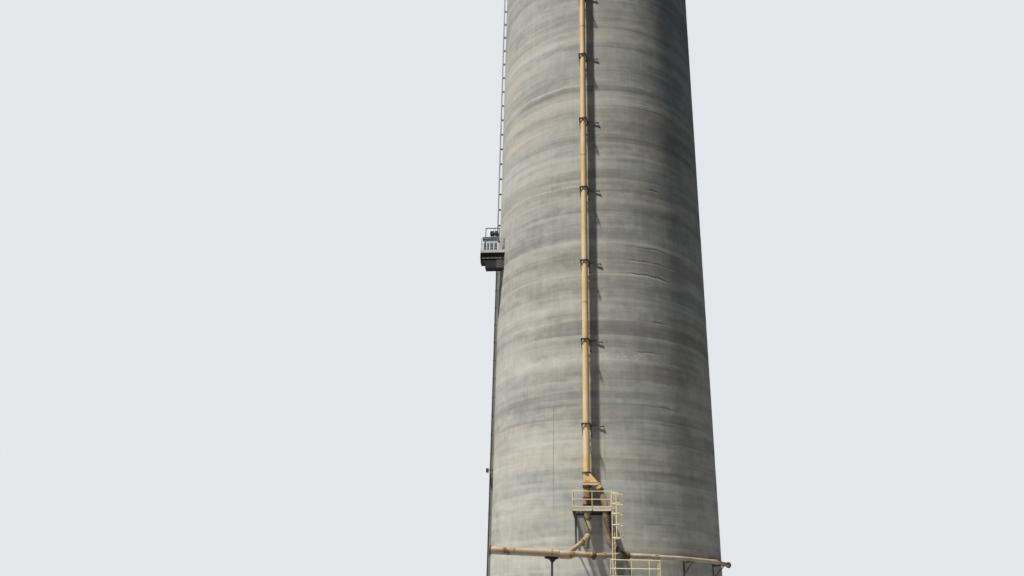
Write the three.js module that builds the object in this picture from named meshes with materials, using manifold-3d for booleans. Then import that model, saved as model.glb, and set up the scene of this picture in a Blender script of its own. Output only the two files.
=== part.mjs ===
// Concrete storage silo with its filling pipework, platforms and side landing.
// Every size is the real silo's in millimetres; the finished group is scaled to 1:2.
// Origin at the centre of the base, +Z up, front of the silo towards -Y.
// A bearing is an angle round the silo in degrees: 0 at the front, 90 at the right (+X).

import * as THREE from 'three';
import { mergeVertices } from 'three/addons/utils/BufferGeometryUtils.js';
import Module from 'manifold-3d';

const wasm = await Module();
wasm.setup();

// Model scale and the running gap between neighbouring pieces
const MODEL_SCALE = 0.5;
const GAP = 0.6;

// Silo shell
const SILO_RADIUS = 8500;
const WALL_THICKNESS = 300;
const WALL_TOP = 63700;
const FLOOR_THICKNESS = 400;
const ROOF_THICKNESS = 300;
const ROOF_TOP = WALL_TOP + ROOF_THICKNESS;
const WALL_SEGMENTS = 8;
const FACETS_ROUND = 96;

// Guardrail size, shared by the roof, the platforms and the landing
const RAIL_HEIGHT = 1070;
const MID_RAIL_HEIGHT = 530;
const RAIL_SIZE = 50;
const TOE_HEIGHT = 100;
const TOE_THICKNESS = 12;

// Roof guardrail
const ROOF_RAIL_RADIUS = 8350;
const ROOF_RAIL_POSTS = 24;

// Riser pipe and the clamps that hold it
const RISER_BEARING = -6.9;
const RISER_OFFSET = 9100;
const RISER_RADIUS = 228.5;
const RISER_FOOT = 11770;
const RISER_LENGTH = 12192;
const RISER_LENGTHS = 4;
const CLAMP_STEP = 6096;
const FIRST_CLAMP = 15050;
const CLAMPS = 9;
const FLANGE_RADIUS = 300;
const FLANGE_THICKNESS = 90;
const GOOSENECK_HEIGHT = 65700;
const GOOSENECK_BEND = 700;
const GOOSENECK_INLET = 6900;

// Clamp bracket, measured from the pipe's axis and the clamp's level
const ARM_SIZE = 70;
const FRAME_HALF = RISER_RADIUS + GAP + ARM_SIZE / 2;
const KNEE_DROP = 720;
const CHANNEL_DROP = 60;
const CHANNEL_REACH = 1150;
const CHANNEL_SIZE = 75;

// Diverter and the two branches under it
const DIVERTER_HEIGHT = 870;
const DIVERTER_HALF_WIDTH = 250;
const DIVERTER_HALF_DEPTH = 230;
const OUTLET_SPREAD = 740;
const NECK_LENGTH = 450;
const VALVE_LIFT = 330;
const BRANCH_RADIUS = 220;
const BRANCH_BEND = 450;
const BLIND_LEG_RADIUS = 200;
const BLIND_LEG_FOOT = 6700;

// Supply header: the straight pipe, its swollen wye, the thinner tail and the stub
const HEADER_Y = -10600;
const HEADER_RADIUS = 250;
const HEADER_LEFT = -7300;
const HEADER_LEFT_Z = 6530;
const HEADER_WYE = -2830;
const HEADER_WYE_Z = 6395;
const BELLY_RADIUS = 280;
const BELLY_RIGHT = -2150;
const BELLY_Z = 6330;
const TAIL_RADIUS = 190;
const TAIL_LEFT = -1850;
const TAIL_LEFT_Z = 6374;
const HEADER_RIGHT = -665;
const HEADER_RIGHT_Z = 6300;
const END_FLANGE_RADIUS = 265;
const STUB_RADIUS = 150;
const HEADER_POST_X = -3300;
const HEADER_POST_HALF = 70;
const SADDLE_HALF = 435;

// Link pipe and the wye at its end
const LINK_RADIUS = 155;
const WYE_RADIUS = 235;
const WYE_BEND = 260;
const WYE_CORNER_REACH = 1017;
const WYE_OUTLET_REACH = 520;

// Pipe that runs on round the wall to the right
const WALL_PIPE_OFFSET = 9050;
const WALL_PIPE_RADIUS = 135;
const WALL_PIPE_Z = 6440;
const WALL_PIPE_BEARINGS = [13, 33, 54, 75];
const FIRST_LENGTH_RADIUS = 165;
const WALL_PIPE_BRACKETS = [38, 61];

// Upper platform
const UPPER_FLOOR = 9230;
const UPPER_LEFT = -2030;
const UPPER_RIGHT = 500;
const UPPER_FRONT = -10750;
const UPPER_MID_POST = -730;
const DECK_DEPTH = 200;
const PLATE_THICKNESS = 30;
const EDGE_THICKNESS = 60;

// Lower platform
const LOWER_FLOOR = 4980;
const LOWER_LEFT = 330;
const LOWER_RIGHT = 3500;
const LOWER_FRONT = -10950;
const LOWER_POSTS = [380, 1680, 2770, 3440];

// Caged ladder, turned a little from the platform's side
const LADDER_Y = -10530;
const LADDER_TURN = THREE.MathUtils.degToRad(68);
const LADDER_WIDTH = 410;
const LADDER_RAIL = 50;
const LADDER_RAIL_THICKNESS = 24;
const LADDER_TOP = 10350;
const RUNG_STEP = 304.8;
const CAGE_RADIUS = 345;
const CAGE_HOOPS = [7370, 8170, 8870, 9500, 10160];

// Cable run up the left side: a closed duct, with an open tray above it
const TRAY_BEARING = -86;
const TRAY_WIDTH = 300;
const TRAY_DEPTH = 100;
const TRAY_STANDOFF = 180;
const TRAY_FOOT = 31000;
const DUCT_FOOT = 300;
const DUCT_DEPTH = 275;
const STRAP_OVERLAP = 12;
const RUN_BRACKET_STEP = 1524;
const RUN_FIRST_BRACKET = 900;

// Landing on the left side
const LANDING_FLOOR = 30780;
const LANDING_LEFT = -9700;
const LANDING_FRONT = -3650;
const LANDING_BACK = -2710;
const LANDING_GIRDER = 780;
const LANDING_BAND = 250;
const GIRDER_INSET = 60;
const GIRDER_THICKNESS = 120;
const LANDING_POSTS = [-9640, -9210, -8950, -8610, -8290, -7760];
const FRONT_PANEL = { left: -9560, right: -8200, foot: 760, head: 1180 };
const BACK_PANEL = { left: -9560, right: -8450, foot: 130, head: 1010 };
const PANEL_THICKNESS = 40;
const BRACKET_STEPS = { left: -9680, shallow: 330, inner: -9280, deep: 810, side: 100 };
const LIGHT_POST_LEFT = -9330;
const LIGHT_POST_RIGHT = -8200;
const LIGHT_HEAD = 2050;
const LAMP = { left: -8950, right: -8250, foot: 1300, head: 1720, front: 240, back: 100 };

const BEARING_OF_FRONT = -Math.PI / 2;
const BEND_STEP = Math.PI / 9;
const ROUND_SIDES = 20;
const PIPE_SIDES = 14;
const SMALL_SIDES = 6;

const materials = {
  concrete: [0x8f8e86, 0.95, 0.0],
  roofDeck: [0x85847d, 0.95, 0.0],
  tanPaint: [0xc79a5c, 0.6, 0.1],
  paleTan: [0xbfa072, 0.65, 0.1],
  rust: [0x4a2c1a, 0.9, 0.2],
  creamPaint: [0xd9c27a, 0.55, 0.1],
  deckPaint: [0xc9c9c0, 0.6, 0.2],
  darkSteel: [0x33342f, 0.7, 0.4],
  galvanised: [0x8d928f, 0.5, 0.6],
};

const silo = new THREE.Group();
silo.name = 'concrete_silo';
silo.scale.setScalar(MODEL_SCALE);

// Geometry helpers

function toSolid(geometry) {
  const plain = geometry.clone();
  plain.deleteAttribute('normal');
  plain.deleteAttribute('uv');
  const merged = mergeVertices(plain, 0.01);
  const mesh = new wasm.Mesh({
    numProp: 3,
    vertProperties: new Float32Array(merged.attributes.position.array),
    triVerts: new Uint32Array(merged.index.array),
  });
  return new wasm.Manifold(mesh);
}

function toGeometry(solid) {
  const mesh = solid.getMesh();
  const geometry = new THREE.BufferGeometry();
  geometry.setAttribute('position', new THREE.BufferAttribute(mesh.vertProperties, 3));
  geometry.setIndex(new THREE.BufferAttribute(mesh.triVerts, 1));
  geometry.computeVertexNormals();
  return geometry;
}

function fuse(geometries) {
  return geometries.map(toSolid).reduce((sum, solid) => sum.add(solid));
}

function addPiece(name, shape, material) {
  const geometry = shape.isBufferGeometry ? shape : toGeometry(shape);
  const [color, roughness, metalness] = materials[material];
  const mesh = new THREE.Mesh(geometry, new THREE.MeshStandardMaterial({ color, roughness, metalness }));
  mesh.name = name;
  silo.add(mesh);
}

function polar(radius, bearing, z) {
  const angle = THREE.MathUtils.degToRad(bearing) + BEARING_OF_FRONT;
  return new THREE.Vector3(radius * Math.cos(angle), radius * Math.sin(angle), z);
}

function box(x0, x1, y0, y1, z0, z1) {
  const geometry = new THREE.BoxGeometry(x1 - x0, y1 - y0, z1 - z0);
  return geometry.translate((x0 + x1) / 2, (y0 + y1) / 2, (z0 + z1) / 2);
}

// A straight bar between two points; its depth lies along the hint.
function bar(from, to, width, depth, hint = new THREE.Vector3(0, 0, 1)) {
  const along = to.clone().sub(from);
  const length = along.length();
  along.normalize();
  const across = hint.clone().cross(along).normalize();
  const deep = along.clone().cross(across);
  const turn = new THREE.Matrix4().makeBasis(across, deep, along);
  const centre = from.clone().add(to).multiplyScalar(0.5);
  turn.setPosition(centre);
  return new THREE.BoxGeometry(width, depth, length).applyMatrix4(turn);
}

// A straight round rod between two points.
function rod(from, to, radius, sides = SMALL_SIDES, endRadius = radius) {
  const along = to.clone().sub(from);
  const geometry = new THREE.CylinderGeometry(endRadius, radius, along.length(), sides);
  const up = new THREE.Vector3(0, 1, 0);
  geometry.applyQuaternion(new THREE.Quaternion().setFromUnitVectors(up, along.clone().normalize()));
  const centre = from.clone().add(to).multiplyScalar(0.5);
  return geometry.translate(centre.x, centre.y, centre.z);
}

// A path through given stations, with one extrusion step between each two.
class StationPath extends THREE.Curve {
  constructor(stations) {
    super();
    this.stations = stations;
  }

  getUtoTmapping(u) {
    return u;
  }

  getPoint(t, target = new THREE.Vector3()) {
    const place = t * (this.stations.length - 1);
    const index = Math.min(Math.floor(place), this.stations.length - 2);
    return target.lerpVectors(this.stations[index], this.stations[index + 1], place - index);
  }
}

// The stations of a round bend at a corner between two straight runs.
function bendStations(before, corner, after, bend) {
  const back = before.clone().sub(corner).normalize();
  const ahead = after.clone().sub(corner).normalize();
  const half = back.angleTo(ahead) / 2;
  const reach = bend / Math.tan(half);
  const centre = back.clone().add(ahead).normalize();
  centre.multiplyScalar(bend / Math.sin(half)).add(corner);
  const first = corner.clone().addScaledVector(back, reach).sub(centre);
  const last = corner.clone().addScaledVector(ahead, reach).sub(centre);
  const sweep = Math.PI - 2 * half;
  const steps = Math.max(2, Math.round(sweep / BEND_STEP));
  const stations = [];
  for (let i = 0; i <= steps; i += 1) {
    const share = i / steps;
    const point = first.clone().multiplyScalar(Math.sin((1 - share) * sweep) / Math.sin(sweep));
    point.addScaledVector(last, Math.sin(share * sweep) / Math.sin(sweep));
    stations.push(point.add(centre));
  }
  return stations;
}

// A round pipe along straight runs joined by bends of one radius.
function pipe(points, radius, bend, sides = PIPE_SIDES) {
  const stations = [points[0]];
  for (let i = 1; i < points.length - 1; i += 1) {
    stations.push(...bendStations(points[i - 1], points[i], points[i + 1], bend));
  }
  stations.push(points[points.length - 1]);
  const section = new THREE.Shape();
  section.absarc(0, 0, radius, 0, Math.PI * 2);
  const steps = stations.length - 1;
  const extrudePath = new StationPath(stations);
  return new THREE.ExtrudeGeometry(section, { steps, curveSegments: sides / 2, extrudePath });
}

function ring(outer, inner, z0, z1, sides) {
  const shape = new THREE.Shape();
  shape.absarc(0, 0, outer, 0, Math.PI * 2);
  const hole = new THREE.Path();
  hole.absarc(0, 0, inner, 0, Math.PI * 2, true);
  shape.holes.push(hole);
  const options = { depth: z1 - z0, bevelEnabled: false, curveSegments: sides / 2 };
  return new THREE.ExtrudeGeometry(shape, options).translate(0, 0, z0);
}

function upright(radius, x, y, z0, z1, sides = ROUND_SIDES) {
  return rod(new THREE.Vector3(x, y, z0), new THREE.Vector3(x, y, z1), radius, sides);
}

// What lies inside the silo's outer face, for fitting pieces against it.
const wallCore = toSolid(upright(SILO_RADIUS + GAP, 0, 0, -1000, ROOF_TOP + 1000, FACETS_ROUND));

function seatOnWall(solid) {
  return solid.subtract(wallCore);
}

// Turns a solid built at the front to a bearing and cuts it back to the wall.
function placeOnWall(solid, bearing) {
  return seatOnWall(toSolid(toGeometry(solid).rotateZ(THREE.MathUtils.degToRad(bearing))));
}

// Shell, floor and roof

function wallSegment(index) {
  const span = 360 / WALL_SEGMENTS;
  const trim = THREE.MathUtils.radToDeg(GAP / 2 / SILO_RADIUS);
  const start = THREE.MathUtils.degToRad(index * span + trim) + BEARING_OF_FRONT;
  const end = THREE.MathUtils.degToRad((index + 1) * span - trim) + BEARING_OF_FRONT;
  const shape = new THREE.Shape();
  shape.absarc(0, 0, SILO_RADIUS, start, end);
  shape.absarc(0, 0, SILO_RADIUS - WALL_THICKNESS, end, start, true);
  const curveSegments = FACETS_ROUND / WALL_SEGMENTS / 2;
  return new THREE.ExtrudeGeometry(shape, { depth: WALL_TOP, bevelEnabled: false, curveSegments });
}

for (let i = 0; i < WALL_SEGMENTS; i += 1) {
  addPiece(`wall_segment_${i + 1}`, wallSegment(i), 'concrete');
}
const innerRadius = SILO_RADIUS - WALL_THICKNESS - GAP;
addPiece('floor_slab', upright(innerRadius, 0, 0, 0, FLOOR_THICKNESS, FACETS_ROUND), 'concrete');
addPiece('roof_slab', upright(SILO_RADIUS, 0, 0, WALL_TOP, ROOF_TOP, FACETS_ROUND), 'roofDeck');

function roofGuardrail() {
  const half = RAIL_SIZE / 2;
  const parts = [RAIL_HEIGHT, MID_RAIL_HEIGHT].map((height) => {
    const z = ROOF_TOP + height;
    return ring(ROOF_RAIL_RADIUS + half, ROOF_RAIL_RADIUS - half, z - RAIL_SIZE, z, ROOF_RAIL_POSTS);
  });
  for (let i = 0; i < ROOF_RAIL_POSTS; i += 1) {
    const bearing = (i * 360) / ROOF_RAIL_POSTS;
    const base = polar(ROOF_RAIL_RADIUS, bearing, ROOF_TOP + GAP);
    const top = polar(ROOF_RAIL_RADIUS, bearing, ROOF_TOP + RAIL_HEIGHT - half);
    parts.push(bar(base, top, RAIL_SIZE - 4, RAIL_SIZE - 4, polar(1, bearing, 0)));
  }
  return fuse(parts);
}

addPiece('roof_guardrail', roofGuardrail(), 'creamPaint');

// Riser pipe, clamps and gooseneck

const riser = polar(RISER_OFFSET, RISER_BEARING, 0);

for (let i = 0; i < RISER_LENGTHS; i += 1) {
  const z0 = RISER_FOOT + i * RISER_LENGTH;
  const z1 = z0 + RISER_LENGTH - GAP;
  addPiece(`riser_pipe_${i + 1}`, upright(RISER_RADIUS, riser.x, riser.y, z0, z1), 'tanPaint');
}

function gooseneck() {
  const foot = RISER_FOOT + RISER_LENGTHS * RISER_LENGTH;
  const points = [
    polar(RISER_OFFSET, RISER_BEARING, foot),
    polar(RISER_OFFSET, RISER_BEARING, GOOSENECK_HEIGHT),
    polar(GOOSENECK_INLET, RISER_BEARING, GOOSENECK_HEIGHT),
    polar(GOOSENECK_INLET, RISER_BEARING, ROOF_TOP + GAP),
  ];
  const inlet = points[3];
  const flange = upright(FLANGE_RADIUS + 60, inlet.x, inlet.y, inlet.z, inlet.z + FLANGE_THICKNESS);
  return fuse([pipe(points, RISER_RADIUS, GOOSENECK_BEND, ROUND_SIDES), flange]);
}

addPiece('riser_gooseneck', gooseneck(), 'tanPaint');

// Built at the front with the pipe's axis on x = 0, then turned to the riser's bearing.
function riserBracket(level) {
  const front = -(RISER_OFFSET + FRAME_HALF);
  const back = -(RISER_OFFSET - FRAME_HALF);
  const wall = -(SILO_RADIUS - WALL_THICKNESS / 2);
  const halfArm = ARM_SIZE / 2;
  const outer = FRAME_HALF + halfArm;
  const parts = [
    box(-outer, outer, front - halfArm, front + halfArm, -halfArm, halfArm),
    box(-outer, outer, back - halfArm, back + halfArm, -halfArm, halfArm),
  ];
  for (const side of [-1, 1]) {
    const x = side * FRAME_HALF;
    parts.push(box(x - halfArm, x + halfArm, front, wall, -halfArm, halfArm));
    const high = new THREE.Vector3(x, front + ARM_SIZE, 0);
    const low = new THREE.Vector3(x, wall, -KNEE_DROP);
    parts.push(bar(high, low, ARM_SIZE * 0.7, ARM_SIZE * 0.8));
  }
  const channelFace = -(SILO_RADIUS + CHANNEL_SIZE);
  const channelBack = -(SILO_RADIUS - 1);
  const channelTop = -CHANNEL_DROP + CHANNEL_SIZE / 2;
  parts.push(box(-outer, CHANNEL_REACH, channelFace, channelBack, channelTop - CHANNEL_SIZE, channelTop));
  return placeOnWall(fuse(parts).translate([0, 0, level]), RISER_BEARING);
}

for (let i = 0; i < CLAMPS; i += 1) {
  addPiece(`riser_bracket_${i + 1}`, riserBracket(FIRST_CLAMP + i * CLAMP_STEP), 'rust');
}

// Diverter at the riser's foot

const leftOutlet = new THREE.Vector3(riser.x + 20, riser.y, RISER_FOOT - DIVERTER_HEIGHT);
const diverterRight = leftOutlet.x + OUTLET_SPREAD;
const neckTop = new THREE.Vector3(diverterRight - 110, riser.y, leftOutlet.z + 130);
const neckAxis = new THREE.Vector3(180, 0, -420).normalize();
const neckEnd = neckTop.clone().addScaledVector(neckAxis, NECK_LENGTH);

function diverter() {
  const top = RISER_FOOT - GAP;
  const shoulder = top - FLANGE_THICKNESS;
  const left = riser.x - DIVERTER_HALF_WIDTH;
  const depth = DIVERTER_HALF_DEPTH;
  const foot = leftOutlet.z;
  const side = new THREE.Shape();
  side.moveTo(left + 40, shoulder);
  side.lineTo(left, foot + 120);
  side.lineTo(left, foot);
  side.lineTo(diverterRight, foot);
  side.lineTo(diverterRight, foot + 180);
  side.lineTo(riser.x + 220, shoulder);
  const housing = new THREE.ExtrudeGeometry(side, { depth: depth * 2, bevelEnabled: false });
  housing.rotateX(Math.PI / 2).translate(0, riser.y + depth, 0);
  return fuse([
    housing,
    upright(FLANGE_RADIUS, riser.x, riser.y, shoulder - 5, top),
    rod(neckTop, neckEnd, BRANCH_RADIUS, ROUND_SIDES),
    upright(FLANGE_RADIUS, leftOutlet.x, riser.y, foot - FLANGE_THICKNESS, foot + 5),
  ]);
}

addPiece('diverter', diverter(), 'tanPaint');

const valveFoot = UPPER_FLOOR + VALVE_LIFT;

function leftValve() {
  const { x, y } = leftOutlet;
  const top = leftOutlet.z - FLANGE_THICKNESS - GAP;
  return fuse([
    upright(BRANCH_RADIUS + 20, x, y, valveFoot, top, PIPE_SIDES),
    upright(FLANGE_RADIUS - 10, x, y, top - 60, top, PIPE_SIDES),
    upright(FLANGE_RADIUS, x, y, valveFoot + 480, valveFoot + 620, PIPE_SIDES),
    upright(FLANGE_RADIUS, x, y, valveFoot, valveFoot + 170, PIPE_SIDES),
    box(x - 60, x + 60, y - 380, y, valveFoot + 200, valveFoot + 440),
  ]);
}

addPiece('left_valve', leftValve(), 'rust');

// Header, wye and branch pipes

const headerLeft = new THREE.Vector3(HEADER_LEFT, HEADER_Y, HEADER_LEFT_Z);
const headerWye = new THREE.Vector3(HEADER_WYE, HEADER_Y, HEADER_WYE_Z);
const headerAxis = headerWye.clone().sub(headerLeft).normalize();
const tailLeft = new THREE.Vector3(TAIL_LEFT, HEADER_Y, TAIL_LEFT_Z);
const headerRight = new THREE.Vector3(HEADER_RIGHT, HEADER_Y, HEADER_RIGHT_Z);
const tailAxis = headerRight.clone().sub(tailLeft).normalize();
const stubHead = new THREE.Vector3(-1450, HEADER_Y + 60, 7030);
const stubFoot = new THREE.Vector3(-2430, HEADER_Y, 6334);
const stubAxis = stubFoot.clone().sub(stubHead).normalize();

function leftBranch() {
  const { x, y } = leftOutlet;
  const reducerLength = 160;
  const corner = stubHead.clone().addScaledVector(stubAxis, -400);
  const reducer = stubHead.clone().addScaledVector(stubAxis, -reducerLength);
  const points = [
    new THREE.Vector3(x, y, valveFoot - GAP),
    new THREE.Vector3(x, y, 8450),
    new THREE.Vector3(-950, -9800, 7880),
    corner,
    reducer,
  ];
  const reducerStart = reducer.clone().addScaledVector(stubAxis, -5);
  const reducerEnd = stubHead.clone().addScaledVector(stubAxis, -GAP);
  const blindFoot = new THREE.Vector3(corner.x, corner.y, BLIND_LEG_FOOT);
  return fuse([
    pipe(points, BRANCH_RADIUS, BRANCH_BEND),
    rod(reducerStart, reducerEnd, BRANCH_RADIUS - 8, PIPE_SIDES, STUB_RADIUS),
    rod(corner, blindFoot, BLIND_LEG_RADIUS, PIPE_SIDES),
    upright(BRANCH_RADIUS + 45, x, y, 8680, 8800, PIPE_SIDES),
  ]);
}

addPiece('left_branch_pipe', leftBranch(), 'paleTan');

function headerPipe() {
  const bellyLeft = new THREE.Vector3(HEADER_WYE, HEADER_Y, BELLY_Z + 8);
  const bellyRight = new THREE.Vector3(BELLY_RIGHT, HEADER_Y, BELLY_Z);
  const coneLeft = new THREE.Vector3(BELLY_RIGHT - 10, HEADER_Y, BELLY_Z);
  const tailStart = tailLeft.clone().addScaledVector(tailAxis, -20);
  const mainEnd = headerWye.clone().addScaledVector(headerAxis, 150);
  return fuse([
    rod(headerLeft, mainEnd, HEADER_RADIUS, ROUND_SIDES),
    rod(bellyLeft, bellyRight, BELLY_RADIUS, ROUND_SIDES),
    rod(coneLeft, tailLeft, BELLY_RADIUS - 1, ROUND_SIDES, TAIL_RADIUS),
    rod(tailStart, headerRight, TAIL_RADIUS, ROUND_SIDES),
    rod(stubHead, stubFoot, STUB_RADIUS, PIPE_SIDES),
    rod(stubHead, stubHead.clone().addScaledVector(stubAxis, 110), STUB_RADIUS + 45, PIPE_SIDES),
    rod(headerLeft, headerLeft.clone().addScaledVector(headerAxis, 60), HEADER_RADIUS + 55, ROUND_SIDES),
    rod(headerRight.clone().addScaledVector(tailAxis, -80), headerRight, END_FLANGE_RADIUS, ROUND_SIDES),
  ]);
}

addPiece('header_pipe', headerPipe(), 'paleTan');

const wallPipePoints = WALL_PIPE_BEARINGS.map((bearing) => polar(WALL_PIPE_OFFSET, bearing, WALL_PIPE_Z));
const wallPipeAxis = wallPipePoints[1].clone().sub(wallPipePoints[0]).normalize();
const wyeCorner = wallPipePoints[0].clone().addScaledVector(wallPipeAxis, -WYE_CORNER_REACH);
wallPipePoints[0].addScaledVector(wallPipeAxis, -WYE_OUTLET_REACH);
const wyeOutlet = wallPipePoints[0];
const wyeInlet = new THREE.Vector3(700, -9240, 6860);
const wyeAxis = wyeCorner.clone().sub(wyeInlet).normalize();
const linkEnd = new THREE.Vector3(1000, -9720, 6400);
const linkAxis = wyeCorner.clone().sub(linkEnd).normalize();

// The right branch runs straight down through the deck between these two points.
const rightDropTop = new THREE.Vector3(120, -9095, 9600);
const rightDropFoot = new THREE.Vector3(150, -9120, 8050);

function rightBranch() {
  const start = neckEnd.clone().addScaledVector(neckAxis, GAP);
  const points = [
    start,
    start.clone().addScaledVector(neckAxis, 420),
    rightDropTop,
    rightDropFoot,
    wyeInlet.clone().addScaledVector(wyeAxis, -520),
    wyeInlet.clone().addScaledVector(wyeAxis, -GAP),
  ];
  const flange = rod(start, start.clone().addScaledVector(neckAxis, 70), FLANGE_RADIUS, ROUND_SIDES);
  return fuse([pipe(points, BRANCH_RADIUS, 600), flange]);
}

addPiece('right_branch_pipe', rightBranch(), 'paleTan');

function rightWye() {
  const rim = WYE_RADIUS + 35;
  return fuse([
    pipe([wyeInlet, wyeCorner, wyeOutlet], WYE_RADIUS, WYE_BEND),
    rod(wyeInlet, wyeInlet.clone().addScaledVector(wyeAxis, 90), rim, PIPE_SIDES),
    rod(wyeOutlet.clone().addScaledVector(wallPipeAxis, -90), wyeOutlet, rim, PIPE_SIDES),
    rod(linkEnd, wyeCorner, LINK_RADIUS, PIPE_SIDES),
  ]);
}

addPiece('right_wye', rightWye(), 'rust');

function headerLink() {
  const start = headerRight.clone().addScaledVector(tailAxis, GAP);
  const points = [
    start,
    start.clone().addScaledVector(tailAxis, 200),
    linkEnd.clone().addScaledVector(linkAxis, -250),
    linkEnd.clone().addScaledVector(linkAxis, -GAP),
  ];
  const flangeEnd = start.clone().addScaledVector(tailAxis, 70);
  const coneEnd = start.clone().addScaledVector(tailAxis, 170);
  const coupling = points[1].clone().lerp(points[2], 0.27);
  const couplingEnd = points[1].clone().lerp(points[2], 0.38);
  return fuse([
    pipe(points, LINK_RADIUS, 300),
    rod(start, flangeEnd, END_FLANGE_RADIUS, ROUND_SIDES),
    rod(start, coneEnd, END_FLANGE_RADIUS - 20, ROUND_SIDES, LINK_RADIUS + 5),
    rod(coupling, couplingEnd, LINK_RADIUS + 70, PIPE_SIDES),
  ]);
}

addPiece('header_link_pipe', headerLink(), 'paleTan');

// A coupling sleeve round a straight run of the wall pipe, at a share of that run.
function sleeve(run, share, length) {
  const from = wallPipePoints[run];
  const to = wallPipePoints[run + 1];
  const along = to.clone().sub(from).normalize();
  const middle = from.clone().lerp(to, share);
  const start = middle.clone().addScaledVector(along, -length / 2);
  const end = middle.clone().addScaledVector(along, length / 2);
  return rod(start, end, WALL_PIPE_RADIUS + 45, PIPE_SIDES);
}

function wallPipe() {
  const points = wallPipePoints.map((point) => point.clone());
  points[0].addScaledVector(wallPipeAxis, GAP);
  const firstStart = wyeOutlet.clone().addScaledVector(wallPipeAxis, 350);
  const firstEnd = wyeOutlet.clone().addScaledVector(wallPipeAxis, 1570);
  const end = points[points.length - 1];
  const inward = points[points.length - 2].clone().sub(end).normalize();
  return fuse([
    pipe(points, WALL_PIPE_RADIUS, 500),
    rod(firstStart, firstEnd, FIRST_LENGTH_RADIUS, PIPE_SIDES),
    sleeve(0, 0.53, 420),
    sleeve(2, 0.2, 420),
    rod(end.clone().addScaledVector(inward, 70), end, WALL_PIPE_RADIUS + 70, PIPE_SIDES),
  ]);
}

addPiece('wall_pipe', wallPipe(), 'paleTan');

function wallPipeBracket(bearing) {
  const top = WALL_PIPE_Z - WALL_PIPE_RADIUS - 5;
  const out = polar(SILO_RADIUS + 1050, bearing, top - 50);
  const wall = polar(SILO_RADIUS - 100, bearing, top - 50);
  const kneeFoot = polar(SILO_RADIUS - 60, bearing, top - 900);
  const kneeHead = polar(SILO_RADIUS + 850, bearing, top - 60);
  const plateTop = polar(SILO_RADIUS + 10, bearing, top + 60);
  const plateFoot = polar(SILO_RADIUS + 10, bearing, top - 1000);
  const outward = polar(1, bearing, 0);
  return seatOnWall(fuse([
    bar(wall, out, 80, 100),
    bar(kneeFoot, kneeHead, 60, 60),
    bar(plateFoot, plateTop, 160, 60, outward),
  ]));
}

WALL_PIPE_BRACKETS.forEach((bearing, i) => {
  addPiece(`wall_pipe_bracket_${i + 1}`, wallPipeBracket(bearing), 'rust');
});

function headerPost() {
  const half = HEADER_POST_HALF;
  const saddleDepth = 110;
  const drop = HEADER_RADIUS + GAP + saddleDepth / 2;
  const share = (HEADER_POST_X - headerLeft.x) / headerAxis.x;
  const middle = headerLeft.clone().addScaledVector(headerAxis, share).add(new THREE.Vector3(0, 0, -drop));
  const left = middle.clone().addScaledVector(headerAxis, -SADDLE_HALF - 30);
  const right = middle.clone().addScaledVector(headerAxis, SADDLE_HALF - 30);
  const [x, y] = [HEADER_POST_X, HEADER_Y];
  return fuse([
    box(x - half, x + half, y - half, y + half, 0, middle.z),
    box(x - 260, x + 260, y - 260, y + 260, 0, 30),
    bar(left, right, 260, saddleDepth),
  ]);
}

addPiece('header_post', headerPost(), 'darkSteel');

// Platforms

function deck(x0, x1, front, floor, holes) {
  const back = -SILO_RADIUS + 1000;
  const under = floor - DECK_DEPTH;
  const edge = EDGE_THICKNESS;
  const toe = floor + TOE_HEIGHT;
  const ledger = toSolid(ring(SILO_RADIUS + edge, SILO_RADIUS - edge, under, floor, FACETS_ROUND));
  const span = toSolid(box(x0, x1, front, back, under, floor));
  const frame = fuse([
    box(x0, x1, front, back, floor - PLATE_THICKNESS, floor),
    box(x0, x1, front, front + edge, under, floor),
    box(x0, x0 + edge, front, back, under, floor),
    box(x1 - edge, x1, front, back, under, floor),
    box(x0, x1, front, front + TOE_THICKNESS, under, toe),
    box(x0, x0 + TOE_THICKNESS, front, back, under, toe),
  ]);
  const whole = frame.add(ledger.intersect(span));
  return seatOnWall(holes.map(toSolid).reduce((rest, hole) => rest.subtract(hole), whole));
}

function pipeHole(x, y, floor) {
  return upright(BRANCH_RADIUS + 60, x, y, floor - DECK_DEPTH * 2, floor + DECK_DEPTH);
}

const upperHoles = [leftOutlet, rightDropTop].map(({ x, y }) => pipeHole(x, y, UPPER_FLOOR));
addPiece('upper_deck', deck(UPPER_LEFT, UPPER_RIGHT, UPPER_FRONT, UPPER_FLOOR, upperHoles), 'deckPaint');

// A flat guardrail panel through posts given as points on the floor.
function railPanel(posts, floor, startTrim = 0) {
  const half = RAIL_SIZE / 2;
  const [foot, head] = [floor + GAP, floor + RAIL_HEIGHT - half];
  const parts = posts.map(({ x, y }) => upright(half, x, y, foot, head, SMALL_SIDES));
  if (startTrim > 0) parts.shift();
  const first = posts[0].clone();
  const last = posts[posts.length - 1];
  const along = last.clone().sub(first).normalize();
  first.addScaledVector(along, startTrim);
  for (const height of [RAIL_HEIGHT - half, MID_RAIL_HEIGHT]) {
    const from = first.clone().setZ(floor + height);
    const to = last.clone().setZ(floor + height);
    parts.push(rod(from, to, half - 1, SMALL_SIDES));
  }
  return fuse(parts);
}

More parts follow.
